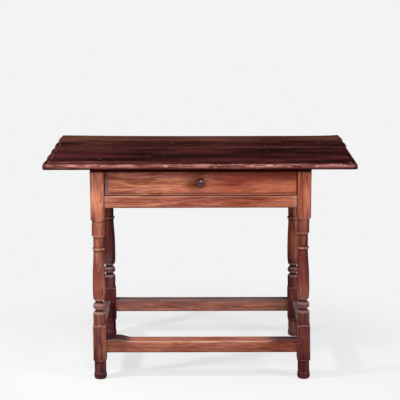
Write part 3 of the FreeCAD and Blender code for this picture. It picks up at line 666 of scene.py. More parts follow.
def straight(start, end, steps):
    """Points on a straight stretch, without the first."""
    return [(start[0] + (end[0] - start[0]) * i / steps, start[1] + (end[1] - start[1]) * i / steps)
            for i in range(1, steps + 1)]


def outline(start, *stretches):
    """Outline of a turning from a (height, radius) point on.

    A stretch is its shape, the point that it ends at, in how many steps, and what else the shape needs.
    """
    points = [start]
    for shape, end, steps, *more in stretches:
        points += shape(points[-1], end, steps, *more)
    return points


# Radius of a block's outline as a share of its side, so that the outline clears the corners
PAST_CORNER = 0.75
QUIRK_LINE = 0.3 * MM
UNDER_TOP = 20 * MM


def leg_profile(leg, square, levels, drop):
    """Outline of a leg as (height, radius) from the floor up. The blocks have a radius past their corners.

    The upper block and the drum reach further down by a drop.
    """
    top, rail_bottom, stretcher_low, stretcher_high = levels
    uncut = PAST_CORNER * square
    low_start = stretcher_low - leg.below_stretcher
    low_end = stretcher_high + leg.above_stretcher
    cup_base = low_end + leg.shoulder_height
    cup_top = cup_base + leg.cup_height
    bead_base = cup_top + leg.notch_height
    bead_top = bead_base + leg.bead_height
    base = bead_top + leg.notch_height
    baluster = base + leg.base_round
    high_start = rail_bottom - leg.below_rail - drop
    drum_top = high_start - leg.shoulder_height - leg.quirk_height
    drum_base = drum_top - leg.drum_height
    ring_top = drum_base - leg.neck_height + drop
    ring_base = ring_top - leg.ring_height
    waist = ring_base - leg.waist_below_ring
    belly = baluster + leg.belly_share * (waist - baluster)
    return outline(
        (0.0, leg.sole_radius),
        (bead, (leg.bun_height, leg.foot_notch_radius), 10, leg.bun_radius),
        (bead, (leg.bun_height + leg.collar_height, leg.ankle_radius), 10, leg.collar_radius),
        (straight, (low_start - leg.shoulder_height, leg.ankle_radius), 2),
        (straight, (low_start - leg.shoulder_round, leg.lip_radius), 3),
        (quarter, (low_start, uncut), 8),
        (straight, (low_end, uncut), 10),
        (quarter, (low_end + leg.shoulder_round, leg.lip_radius), 8),
        (straight, (cup_base, leg.cup_radius), 3),
        (straight, (cup_top - leg.cup_round, leg.cup_radius), 6),
        (quarter, (cup_top, leg.notch_radius), 6),
        (straight, (bead_base, leg.notch_radius), 2),
        (bead, (bead_top, leg.notch_radius), 12, leg.bead_radius),
        (straight, (base, leg.notch_radius), 2),
        (quarter, (baluster, leg.base_radius), 6),
        (through, (ring_base, leg.neck_radius), 6, (belly, leg.belly_radius),
         ((belly + waist) / 2, leg.middle_radius), (waist, leg.waist_radius)),
        (bead, (ring_top, leg.neck_radius), 10, leg.ring_radius),
        (straight, (drum_base, leg.neck_radius), 5),
        (quarter, (drum_base + leg.drum_round, leg.drum_radius), 6),
        (straight, (drum_top, leg.drum_top_radius), 5),
        (straight, (drum_top + QUIRK_LINE, leg.quirk_radius), 1),
        (straight, (drum_top + leg.quirk_height, leg.quirk_radius), 2),
        (straight, (high_start - leg.shoulder_round, leg.lip_radius), 3),
        (quarter, (high_start, uncut), 8),
        (straight, (top - UNDER_TOP, uncut), 12),
        (straight, (top, uncut), 10),
    )


# Heights between which a leg's look changes, each from where the change starts to where it is full
LOOSE = (0.53, 0.5)
FADED = (0.5, 0.6)
HANDLED = (0.5, 0.56)
KICKED = (0.3, 0.2)
DEEPENED = (0.34, 0.26)
OVER_FOOT = (0.05, 0.08)
FOOT = (0.1, 0.05)
FOOT_CREST = (0.08, 0.04)
FOOT_DUST = (0.06, 0.045)
FOOT_DIRT = (0.045, 0.0)
CUP_START, CUP_END = (0.16, 0.2), (0.33, 0.28)
TURNED_START, TURNED_END = (0.19, 0.23), (0.525, 0.495)
BALUSTER_START = (0.256, 0.286)
# Differences in radius over which a turning counts as a crest or as sunk beside its neighbours, and as a line
NEIGHBOURS = 6 * MM
CREST = (0.5 * MM, 4 * MM)
SUNK = (0.8 * MM, 5 * MM)
SHOULDER_LINE = (1.2 * MM, 0.2 * MM)
# Depths under the top between which a leg is painted dark: the painted shadow of the top
SHADED = (18 * MM, 14 * MM)


def stance(leg, x, y, z):
    """How far a leg has moved to the right at a place, as the old joints have given way."""
    free = smooth_step(*LOOSE, z)
    if x > 0:
        return leg.lean * free * (1 - z / leg.lean_start)
    return leg.set_in * free * (1 - z / LOOSE[0]) if y > 0 else 0.0


def square_reach(angle, half, arris):
    """Distance from the middle of a square with rounded corners to its side, in a direction."""
    c, s = abs(math.cos(angle)), abs(math.sin(angle))
    c, s = max(c, s), min(c, s)
    core = half - arris
    if half * s / c <= core:
        return half / c
    along = core * (c + s)
    return along + math.sqrt(max(along ** 2 - 2 * core ** 2 + arris ** 2, 0.0))


# Directions of the points on one side of a leg, in degrees, closer together near its corners
QUADRANT = (-43.6, -42, -39, -34, -27, -18, -9, 0, 9, 18, 27, 34, 39, 42, 43.6, 45)
CORNER = 43
LegLook = namedtuple("LegLook", "paleness stain rub fall dust")


def leg_shell(leg, profile, low, high, shift, girth, look, seed):
    """One leg between two corners of its box, with its turnings moved up by shift and thickened by girth.

    Its look is its paleness, its red stain, how much it is rubbed, how much deeper its low part is, and
    how dusty its cup and bead are; the grey of that dust is also a painted sheen on their crests.
    """
    shell = Shell("z", seed)
    middle = (low + high) / 2
    half = (high.x - low.x) / 2
    directions = [(math.radians(90 * side + a), abs(a) > CORNER) for side in range(4) for a in QUADRANT]
    rings = []
    for z, radius in profile:
        is_block = radius > 1.2 * half
        near = [r for h, r in profile if abs(h - z) < NEIGHBOURS]
        crest = smooth_step(*CREST, radius - min(near))
        sunk = smooth_step(*SUNK, min(max(near), half) - radius)
        turned = smooth_step(*TURNED_START, z) * smooth_step(*TURNED_END, z)
        thicker = girth * turned * (0.25 + 0.75 * smooth_step(*BALUSTER_START, z))
        sway = 0.0 if is_block else leg.sway
        axis = Vector((
            middle.x + sway * wander(z * 9, 0.3, 0.7, seed) + stance(leg, middle.x, middle.y, z),
            middle.y + sway * wander(z * 9, 5.3, 2.7, seed), z + shift * turned))
        cup = smooth_step(*CUP_END, z) * smooth_step(*CUP_START, z)
        upper = smooth_step(*HANDLED, z)
        block = half - leg.block_wear * smooth_step(*KICKED, z)
        tone = look.paleness + 0.52 * smooth_step(*FADED, z) - 0.1 * smooth_step(*KICKED, z)
        tone -= 0.28 * smooth_step(*FOOT, z)
        tone -= look.fall * smooth_step(*DEEPENED, z) * smooth_step(*OVER_FOOT, z)
        tone += 0.12 * wander(z * 14, 1.1, 3.3, seed)
        # Painted shadow of the top's overhang on the leg's upper end
        painted_top_shadow = 0.93 * smooth_step(*SHADED, high.z - z)
        ring = []
        for turn, on_corner in directions:
            c, s = math.cos(turn), math.sin(turn)
            side = square_reach(turn, block, leg.arris * (1 + 0.7 * wander(z * 30, turn, 2.2, seed)))
            reach = min(radius + thicker, side)
            cut = reach < side - 0.05 * MM
            bare_corner = on_corner and not cut
            uneven = patchy(2.5 * c, 2.5 * s, z * 30, seed)
            reach -= (leg.flats if cut else leg.plane_marks) * uneven
            wear = 0.3 * (1 - upper) if bare_corner else 0.0
            if radius > 0.98 * leg.lip_radius:
                line = smooth_step(*SHOULDER_LINE, abs(radius - side))
                wear = max(wear, (0.05 if z < FOOT[0] else 0.5) * line)
            dust = 0.0
            if not is_block:
                wear = max(wear, (0.5 - 0.38 * cup - 0.35 * smooth_step(*FOOT_CREST, z)) * crest)
                # Dust on the cup and bead, whose grey is also a painted sheen on their crests, and dust over
                # the foot
                dust = max(cup * max(0.7 * crest, look.dust), 0.16 * smooth_step(*FOOT_DUST, z))
            # Wax and painted contact shade in the hollows beside crests, painted shade along the upper
            # blocks' corners, dirt at the foot and the top's painted shadow
            grime = max(
                0.7 * sunk if cut else 0.0, 0.45 * upper if bare_corner else 0.0,
                0.5 * smooth_step(*FOOT_DIRT, z) * uneven, painted_top_shadow)
            streak = wander(70 * reach * c, 70 * reach * s, z * 5, seed)
            ring.append(shell.add(
                axis + reach * Vector((c, s, 0)), look.rub * wear, grime, tone + 0.16 * streak,
                look.stain - dust + 0.2 * streak))
        rings.append(ring)
    shell.loft(rings)
    return shell


class SIDETABLE_OT_legs(bpy.types.Operator):
    """Turns the four legs between their square blocks"""
    bl_idname = "side_table.legs"
    bl_label = "Legs"

    def execute(self, context):
        table = settings_of(context)
        leg = table.leg
        material = waxed_oak(table.finish)
        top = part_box("leg_front_left")[1].z
        rail_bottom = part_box("rear_rail")[0].z
        levels = (top, rail_bottom, *[corner.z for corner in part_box("stretcher_rear")])
        # Each leg's shares of the unevenness, girth and drop, and its look
        plan = (
            ("front_left_leg", "leg_front_left", -0.5, 0.25, 1, LegLook(0.37, 0.1, 1.0, 0.0, 0.0)),
            ("front_right_leg", "leg_front_right", 1.2, 0.1, 0, LegLook(0.18, 0.34, 0.8, -0.03, 0.45)),
            # The rear left leg's low paleness is partly its own darker wood and partly painted shade
            ("rear_left_leg", "leg_rear_left", 0.3, 1, 0, LegLook(0.08, 0.2, 0.4, 0.0, 0.25)),
            ("rear_right_leg", "leg_rear_right", -0.3, 0.35, 0, LegLook(0.53, 0.12, 0.55, 0.4, 0.12)),
        )
        for seed, (name, node, shift, girth, drop, look) in enumerate(plan, 1):
            low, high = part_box(node)
            profile = leg_profile(leg, high.x - low.x, levels, drop * leg.drop)
            shell = leg_shell(leg, profile, low, high, shift * leg.unevenness, girth * leg.girth, look, seed)
            shell.piece(name, material, "frame", "frame_wood", node)
        return {"FINISHED"}


CORNER_STEPS = 4
SIDE_PLACES = (0.0, 0.25, 0.5, 0.75, 1.0)
EDGE_BAND = 4 * MM
BAR_STEP = 10 * MM
END_PLACES = [d * MM for d in (0, 1, 2.5, 5, 9, 13)]
# Distances from a bar's end or lower edge between which it gets its dark joint line, the painted shadow of
# the legs, its dust and painted shade along the lower edge
END_LINE = (3 * MM, 0.5 * MM)
END_SHADOW = (16 * MM, 5 * MM)
END_DUST = (13 * MM, 9 * MM)
LOWER_EDGE_SHADE = (6 * MM, 0.0)
DENT = 0.3 * MM
BOW = 0.35 * MM
BOW_CLEAR = 2 * MM


def bar_section(width, height, radii, rubs):
    """Points (across, up, wear) of a bar's section, from the lower left corner round."""
    corners = ((-1, -1), (1, -1), (1, 1), (-1, 1))
    arcs = []
    for (sx, sz), radius, first in zip(corners, radii, (180, 270, 0, 90)):
        hub = Vector((sx * (width / 2 - radius), sz * (height / 2 - radius)))
        turns = [math.radians(first + 90 * i / CORNER_STEPS) for i in range(CORNER_STEPS + 1)]
        arcs.append([hub + radius * Vector((math.cos(turn), math.sin(turn))) for turn in turns])
    points = []
    for arc, following, rub in zip(arcs, arcs[1:] + arcs[:1], rubs):
        points += [(p.x, p.y, rub) for p in arc]
        start, end = arc[-1], following[0]
        inset = min(EDGE_BAND / (end - start).length, 0.2)
        for place in SIDE_PLACES:
            p = start.lerp(end, inset + (1 - 2 * inset) * place)
            points.append((p.x, p.y, 0.0))
    return points


def bar_shell(axis, low, high, arris, rubs, look_at, seed, drop_at=None, dusting=0.0):
    """Bar along X or Y between two corners, with uneven worn corners, whose look and top depend on the place.

    Each of its four long corners has its own rub. A bar with dusting has dust on its ends, another one a
    painted shadow of the legs. Its lower edge gets painted shade.
    """
    shell = Shell(axis, seed)
    along = "xyz".index(axis)
    across = 1 - along
    start, end = low[along], high[along]
    count = int((end - start) / BAR_STEP)
    places = [start + d for d in END_PLACES] + [end - d for d in END_PLACES]
    places += [start + (end - start) * i / count for i in range(2, count - 1)]
    width, height = high[across] - low[across], high.z - low.z
    middle = (low + high) / 2
    rings = []
    for place in sorted(places):
        ring = []
        radii = [arris * (1 + 0.5 * wander(place * 11, k, 0.5, seed)) for k in range(4)]
        from_end = min(place - start, end - place)
        end_line_and_shadow = 0.8 * smooth_step(*END_LINE, from_end)
        # Painted shadow of the legs over the ends of a bar without dust
        end_line_and_shadow = max(end_line_and_shadow, 0.0 if dusting else 0.35 * smooth_step(*END_SHADOW, from_end))
        dust = dusting * smooth_step(*END_DUST, from_end)
        front_drop, back_rise = drop_at(place) if drop_at else (0.0, 0.0)
        bow = BOW * wander(place * 3.1, 0.4, 8.2, seed)
        for a, b, wear in bar_section(width, height, radii, rubs):
            b -= (front_drop * (0.5 - a / width) - back_rise * (0.5 + a / width)) * (b / height + 0.5) ** 2
            dent = DENT * patchy(place * 22, a * 60, b * 60, seed)
            point = Vector((0, 0, 0))
            point[along] = place
            point[across] = middle[across] + a * (1 - 2 * dent / width)
            point.z = middle.z + b * (1 - 2 * dent / height)
            if abs(b) < height / 2 - BOW_CLEAR:
                point.z += bow
            tone, stain, rub, soot = look_at(place, a / width, b / height)
            tone += 0.1 * wander(place * 6, a * 9, b * 9, seed)
            stain += (-dust - stain) * smooth_step(0.0, 0.05, dust)
            # Painted shade along the lower edge; soot is painted shade on the front stretcher's top by the
            # legs
            grime = max(end_line_and_shadow, soot, 0.55 * smooth_step(*LOWER_EDGE_SHADE, b + height / 2))
            ring.append(shell.add(point, rub * wear, grime, tone, stain))
        rings.append(ring)
    shell.loft(rings)
    return shell


def between_legs(node, axis):
    """Corners of a rail or stretcher between the legs, without its tenons."""
    low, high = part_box(node)
    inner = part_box("leg_front_left")[1]
    along = "xyz".index(axis)
    low[along], high[along] = inner[along], -inner[along]
    return low, high


# Rub of a rail's corners, from the lower left round, the upper ones rubbed and also a painted highlight, and
# the places along it between which it reddens
RAIL_RUBS = (0.12, 0.12, 0.3, 0.3)
RAIL_REDDENS = (-0.2, 0.25)


class SIDETABLE_OT_rails(bpy.types.Operator):
    """Planes the rails under the top, between the legs"""
    bl_idname = "side_table.rails"
    bl_label = "Rails"

    def execute(self, context):
        table = settings_of(context)
        bar = table.bar
        material = waxed_oak(table.finish)
        # Each rail's paleness and the dust on its ends
        plan = (
            ("front_drawer_rail", "drawer_rail", "x", 0.62, 0.24),
            ("back_rail", "rear_rail", "x", 0.42, 0.0),
            ("left_side_rail", "side_rail_left", "y", 0.5, 0.0),
            ("right_side_rail", "side_rail_right", "y", 0.42, 0.0),
        )
        for seed, (name, node, axis, paleness, dusting) in enumerate(plan, 11):
            low, high = between_legs(node, axis)
            if node == "drawer_rail":
                low.z -= bar.rail_drop
                high.z -= bar.rail_drop

            def look_at(place, across, up):
                return paleness + 0.12 * up, 0.2 + 0.25 * smooth_step(*RAIL_REDDENS, place), 1.0, 0.0

            shell = bar_shell(axis, low, high, bar.arris, RAIL_RUBS, look_at, seed, None, dusting)
            shell.piece(name, material, "frame", "frame_wood", node)
        return {"FINISHED"}


# Places along the front stretcher from where a change of its look starts to where it is full
STRETCHER_REDDENS = (0.12, 0.28)
STRETCHER_DARKENS = (-0.22, -0.26)
# Painted shade on the front stretcher's top by each leg
STRETCHER_SHADE_LEFT = (-0.215, -0.25)
STRETCHER_SHADE_RIGHT = (0.235, 0.255)


class SIDETABLE_OT_stretchers(bpy.types.Operator):
    """Planes the four stretchers and wears them where feet have rested"""
    bl_idname = "side_table.stretchers"
    bl_label = "Stretchers"

    def execute(self, context):
        table = settings_of(context)
        bar = table.bar
        material = waxed_oak(table.finish)
        # Each stretcher's paleness, its share of the foot wear and the rub of its corners
        plan = (
            ("front_stretcher", "stretcher_front", "x", 0.56, 1.0, (0.15, 0.1, 0.2, 1.0)),
            ("back_stretcher", "stretcher_rear", "x", 0.46, 0.12, (0.1, 0.0, 0.0, 0.3)),
            ("left_stretcher", "stretcher_left", "y", 0.1, 0.2, (0.1, 0.1, 0.5, 0.1)),
            ("right_stretcher", "stretcher_right", "y", 0.12, 0.2, (0.1, 0.1, 0.2, 0.9)),
        )
        for seed, (name, node, axis, paleness, foot_wear, rubs) in enumerate(plan, 21):
            low, high = between_legs(node, axis)
            trodden = node == "stretcher_front"
            along = "xyz".index(axis)
            low[along] -= bar.tuck
            high[along] += bar.tuck
            if axis == "x":
                high.x += stance(table.leg, high.x, low.y, low.z)
            else:
                for corner in (low, high):
                    corner.x += stance(table.leg, corner.x, FRONT, low.z)
            if node == "stretcher_rear":
                low.z += bar.rear_lift
                high.z += bar.rear_lift
            start = bar.wear_start if trodden else low[along] + bar.unworn_end
            end = bar.wear_end if trodden else high[along] - bar.unworn_end

            def worn_at(place):
                wave = 0.85 + 0.15 * wander(place * 9, 0.2, 0.9, seed)
                from_start = smooth_step(start, start + bar.wear_left, place)
                return wave * from_start * smooth_step(end, end - bar.wear_right, place)

            def drop_at(place):
                unworn = smooth_step(bar.rise_end, bar.rise_end - bar.rise_run, place) if trodden else 0.0
                return foot_wear * bar.foot_wear * worn_at(place), bar.left_rise * unworn

            def look_at(place, across, up):
                worn = worn_at(place)
                upper = smooth_step(0.2, 0.4, up)
                tone = paleness - 0.45 * smooth_step(0.25, 0.45, up) * (1 - foot_wear * worn)
                if not trodden:
                    # Dust on the tops, whose grey is also a painted sheen; on the right stretcher it rises to
                    # a painted highlight along the inner top edge
                    inner_edge = smooth_step(-0.15, -0.35, across)
                    dust = 0.4 + 0.6 * inner_edge if node == "stretcher_right" else 0.1
                    return tone, -dust * upper - 0.1, 1.0, 0.0
                to_right = smooth_step(*STRETCHER_REDDENS, place)
                far_left = smooth_step(*STRETCHER_SHADE_LEFT, place)
                far_right = smooth_step(*STRETCHER_SHADE_RIGHT, place)
                tone += 0.2 * worn * upper - 0.16 * to_right - 0.1 * smooth_step(*STRETCHER_DARKENS, place)
                # Painted shade on the top by the legs
                soot = (0.65 * far_left + 0.45 * far_right) * smooth_step(0.3, 0.45, up)
                return tone, 0.24 + 0.3 * to_right, 0.15 + 0.85 * max(worn, 0.5 * far_left), soot

            shell = bar_shell(axis, low, high, bar.arris, rubs, look_at, seed, drop_at)
            shell.piece(name, material, "frame", "frame_wood", node)
        return {"FINISHED"}


def end_reach(top, inset, y, side):
    """Distance from the middle of the top to the outline of one end, moved in by inset, at a depth."""
    half = cad_box[1].x
    along = y - cad_box[0].y
    if side == RIGHT and along < top.straight:
        return half - top.lobe_depth - inset
    half_pitch = top.lobe_pitch / 2
    hubs = (half_pitch ** 2 + top.lobe_depth ** 2) / (2 * top.lobe_depth)
    lobe = hubs - top.notch_radius
    t = abs((along - top.first_notch + half_pitch) % top.lobe_pitch - half_pitch)
    small = top.notch_radius + inset
    if t < half_pitch * small / hubs:
        return half + top.notch_radius - top.lobe_depth - math.sqrt(small ** 2 - t ** 2)
    return half - lobe + math.sqrt((lobe - inset) ** 2 - (half_pitch - t) ** 2)


# Distances past the field's edge between which the bed falls to the quirk, and at which the field is level
BED_FALL = (-2.5 * MM, -1.2 * MM)
FIELD_LEVEL = 1.8 * MM


def edge_height(top, thick, inset, past):
    """Height of the top over its underside, at a distance from its edge and one past the field's edge."""
    bed = thick - top.edge_sink
    quirk = top.quirk
    if inset < top.nose_radius:
        return bed - top.nose_radius + math.sqrt(top.nose_radius ** 2 - (top.nose_radius - inset) ** 2)
    if past < -quirk:
        return bed - quirk * smooth_step(*BED_FALL, past)
    return bed - quirk + (top.edge_sink + quirk) * smooth_step(-quirk, FIELD_LEVEL, past)


RIPPLE_SEED = 31
# Powers by which the dip of the back edge fades towards the ends
DIP_FADE_LEFT, DIP_FADE_RIGHT = 2, 14


def field_height(top, x, y):
    """How far the upper side lies below the level of the field at a place."""
    low, high = cad_box
    back = smooth_step(low.y * 0.2, high.y, y)
    dip = top.back_dip * back * (1 - abs(x / high.x) ** (DIP_FADE_LEFT if x < 0 else DIP_FADE_RIGHT))
    return dip + top.ripple * patchy(x * 5, y * 34, 0.4, RIPPLE_SEED)


def edge_places(top, width):
    """Distances from the edge at which a moulding of a width needs a line of points."""
    nose = [top.nose_radius * (1 - math.cos(math.radians(a))) for a in (0, 18, 36, 54, 72, 90)]
    bed = [top.nose_radius + (width - 3.2 * MM - top.nose_radius) * t for t in (0.25, 0.5, 0.75, 1.0)]
    quirk = [width + d * MM for d in (-2.0, -1.2, -0.5, 0.3, 1.1, 2.0, 4.5)]
    return nose + bed + quirk


FIELD_ROWS = 24
FIELD_COLUMNS = 84
# Distances from the edge, the field's edge, the front or the joint between which the top's look changes
NOSE = (8 * MM, 3 * MM)
RIDGE, RIDGE_MIDDLE = (1.4 * MM, 0.3 * MM), 1.6 * MM
QUIRK_WAX_AND_SHADE, QUIRK_MIDDLE = (1.9 * MM, 0.3 * MM), -0.8 * MM
FRONT_DIRT = (30 * MM, 8 * MM)
JOINT_WEAR, JOINT_EDGE = (2.2 * MM, 0.2 * MM), (1.0 * MM, 0.0)
JOINT_ROW = 1.2 * MM
BAND_WAVE = 14 * MM
BAND_FADE = (-12 * MM, 16 * MM)
# Places along the length and the depth of the top between which its look changes
RIDGE_RUBBED = (-0.2, -0.4)
BACK_BROWNS = (-0.02, 0.08)
# How many nicks a board's nose has, how far from the middle they reach, and their depths and widths
NICKS = 22
NICK_REACH = 0.47
NICK_DEPTH_MM = (0.5, 1.7)
NICK_WIDTH_MM = (3, 9)


def board_shell(top, node, is_front, seed):
    """One board of the top, moulded on three sides, with the joint on its fourth."""
    shell = Shell("x", seed)
    low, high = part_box(node)
    outer = low.y if is_front else high.y
    joint = high.y if is_front else low.y
    inward = 1 if is_front else -1
    depth = abs(joint - outer)
    side_places = edge_places(top, top.edge_width)
    end_places = edge_places(top, top.end_width)
    inner = side_places[-1]
    far = depth - JOINT_ROW
    rows = side_places + [inner + (far - inner) * i / FIELD_ROWS for i in range(1, FIELD_ROWS + 1)] + [depth]
    columns = [(LEFT, d, 0) for d in end_places]
    columns += [(0, None, i / FIELD_COLUMNS) for i in range(1, FIELD_COLUMNS)]
    columns += [(RIGHT, d, 0) for d in reversed(end_places)]
    chance = random.Random(seed)
    nicks = [(chance.uniform(-NICK_REACH, NICK_REACH), chance.uniform(*NICK_DEPTH_MM) * MM,
              chance.uniform(*NICK_WIDTH_MM) * MM) for _ in range(NICKS)]
    radius = top.corner_radius if is_front else top.back_corner

    def rounded(dx, dy):
        """Moves a place near a corner onto the corner's round."""
        if dx is None or dx >= radius or dy >= radius:
            return dx, dy
        px, py = 1 - dx / radius, 1 - dy / radius
        pull = max(px, py) / max(math.hypot(px, py), 1e-9)
        return radius * (1 - px * pull), radius * (1 - py * pull)

    def rubbed(x, y, inset):
        """How far the nose is worn back at a place."""
        fade = smooth_step(top.nose_radius * 1.3, 0, inset)
        wave = top.nose_wave * patchy(x * 13, y * 13, 0.9, seed)
        dents = sum(d * math.exp(-((x - at) / w) ** 2) for at, d, w in nicks)
        return fade * (wave + dents)

    upper, lower = [], []
    for row in rows:
        upper_row, lower_row = [], []
        for side, d, t in columns:
            dx, dy = rounded(d, row)
            inset = min(row, d) if d is not None else row
            y = outer + inward * dy
            if side:
                x = side * end_reach(top, dx, y, side)
            else:
                x0, x1 = (s * end_reach(top, end_places[-1], y, s) for s in (LEFT, RIGHT))
                x = x0 + (x1 - x0) * t
            worn = rubbed(x, y, inset)
            y_worn = y + inward * worn * (1 if row < top.nose_radius else 0)
            past = row - top.edge_width if d is None else min(row - top.edge_width, d - top.end_width)
            up = edge_height(top, high.z - low.z, inset, past) - 0.4 * worn
            share_of_height = up / (high.z - low.z)
            z = low.z + up - field_height(top, x, y) * share_of_height
            near_joint = smooth_step(*JOINT_WEAR, depth - row)
            z -= top.joint_bevel * smooth_step(*JOINT_EDGE, depth - row)
            nose = smooth_step(*NOSE, inset)
            at_end = smooth_step(top.end_width, 0.5 * top.end_width, d) if d is not None else 0.0
            ridge = smooth_step(*RIDGE, abs(past - RIDGE_MIDDLE)) * smooth_step(*RIDGE_RUBBED, x)
            # The nose is pale partly from rubbing and partly as a painted highlight on its rounded upper part
            wear = max(0.71 * nose * (1 - 0.6 * at_end), 0.5 * ridge, 0.55 * near_joint)
            quirk = smooth_step(*QUIRK_WAX_AND_SHADE, abs(past - QUIRK_MIDDLE))
            band_edge = cad_box[1].y - top.band + BAND_WAVE * wander(x * 7, 0.1, 0.2, seed)
            in_band = smooth_step(*BAND_FADE, y - band_edge)
            tone = max(in_band, 0.2 * smooth_step(*BACK_BROWNS, y))
            # The quirk gets black wax and painted shade
            dirt = max(0.9 * quirk, 0.55 * at_end * smooth_step(*FRONT_DIRT, row))
            upper_row.append(shell.add((x, y_worn, z), wear, dirt, tone))
            under = top.under_radius
            rise = under - math.sqrt(under ** 2 - (under - inset) ** 2) if inset < under else 0.0
            # The underside is painted dark: painted shade under the nose and below the top
            lower_row.append(shell.add((x, y_worn, low.z + rise), 0.0, 0.9 if inset < under else 0.35, 0.4))
        upper.append(upper_row)
        lower.append(lower_row)
    for grid in (upper, lower):
        for near, next_row in zip(grid, grid[1:]):
            for i in range(len(columns) - 1):
                shell.faces.append((near[i], near[i + 1], next_row[i + 1], next_row[i]))

    def border(grid):
        """Points round the edge of a grid."""
        right_side = [r[-1] for r in grid[1:-1]]
        left_side = [r[0] for r in reversed(grid[1:-1])]
        return grid[0] + right_side + list(reversed(grid[-1])) + left_side

    rim = border(upper)
    middle = []
    for i in rim:
        x, y, _ = shell.points[i]
        # The face under the nose gets at least some painted shade
        grime = max(shell.grime[i], 0.3)
        middle.append(shell.add((x, y, low.z + top.face_line), 0.45 * shell.wear[i], grime, shell.tone[i]))
    shell.bridge(rim, middle)
    shell.bridge(middle, border(lower))
    return shell


class SIDETABLE_OT_top(bpy.types.Operator):
    """Moulds the two boards of the top, with lobed ends and a worn nose"""
    bl_idname = "side_table.top"
    bl_label = "Top"

    def execute(self, context):
        table = settings_of(context)
        material = patinated_top(table.finish)
        plan = (("front_top_board", "top_board_front", True), ("back_top_board", "top_board_back", False))
        for seed, (name, node, is_front) in enumerate(plan, 41):
            shell = board_shell(table.top, node, is_front, seed)
            shell.piece(name, material, "frame", "top_wood", node)
        return {"FINISHED"}


LONG_EDGE = 25 * MM
FLAT_ANGLE, SQUARE_ANGLE = math.radians(1), math.radians(60)
WORN_ANGLES = (math.radians(15), math.radians(40))
TOOL_MARKS = 0.22 * MM
FACE_CELL, BOARD_CELL = 9 * MM, 26 * MM


def plain_look(place):
    """Tone, grime and stain of an unfinished board, which are the same all over."""
    return 0.5, 0.0, 0.0


def worked_copy(node, axis, arris, cell, seed, look_at=plain_look, levels=()):
    """Mesh of a CAD piece with bevelled long edges, cut into cells and at levels, left uneven by tools."""
    bm = bmesh.new()
    bm.from_mesh(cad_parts[node].data)
    bmesh.ops.remove_doubles(bm, verts=bm.verts, dist=WELD)
    bmesh.ops.dissolve_limit(bm, angle_limit=FLAT_ANGLE, verts=bm.verts, edges=bm.edges)
    long_edges = [e for e in bm.edges if e.is_manifold and e.is_convex and e.calc_length() > LONG_EDGE
                  and e.calc_face_angle() > SQUARE_ANGLE]
    bmesh.ops.bevel(
        bm, geom=long_edges, offset=arris, segments=2, profile=0.6, affect="EDGES", clamp_overlap=True)
    low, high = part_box(node)
    for k in range(3):
        run = high[k] - low[k]
        count = max(int(run / cell), 1)
        cuts = [low[k] + run * i / count for i in range(1, count)]
        cuts += [low[k] + 4 * arris, high[k] - 4 * arris] if run > 12 * arris else []
        cuts += levels if k == 2 else []
        normal = Vector([1 if i == k else 0 for i in range(3)])
        for cut in cuts:
            bmesh.ops.bisect_plane(
                bm, geom=bm.verts[:] + bm.edges[:] + bm.faces[:], dist=0.001 * MM, plane_no=normal,
                plane_co=normal * cut)
    bm.normal_update()
    wear, grime, tone, stain = [], [], [], []
    for v in bm.verts:
        turn = max([e.calc_face_angle_signed(0.0) for e in v.link_edges] + [0.0])
        wear.append(0.6 * smooth_step(*WORN_ANGLES, turn))
        for values, value in zip((tone, grime, stain), look_at(v.co)):
            values.append(value)
        v.co -= v.normal * TOOL_MARKS * patchy(*(v.co * 26), seed)
    mesh = bpy.data.meshes.new(node + "_worked")
    bm.to_mesh(mesh)
    bm.free()
    dress(mesh, "xyz".index(axis), seed, wear, grime, tone, stain)
    return mesh


FRONT_SEED = 51
FRONT_REDDENS = (-0.1, 0.15)
FRONT_STRETCH = 14 * MM
# Levels of the scratched line over the lower edge of the drawer front
LINE_LEVELS = [d * MM for d in (4.6, 6.0, 7.4, 8.8)]
# Distances from the drawer front's top, ends, face, lower edge and knob between which it darkens; at the top
# this is the painted shadow of the top, at the ends and the lower edge painted shade in the gaps
TOP_SHADE = (15 * MM, 12 * MM)
END_FADE, END_SHADE = (14 * MM, 10 * MM), (4 * MM, 1.5 * MM)
FACE_SKIN = (3 * MM, 2 * MM)
LOWER_SHADE = (2 * MM, 0.5 * MM)
TOUCHED, TOUCH_SHADE = Vector((-12 * MM, 0, -6 * MM)), (46 * MM, 10 * MM)


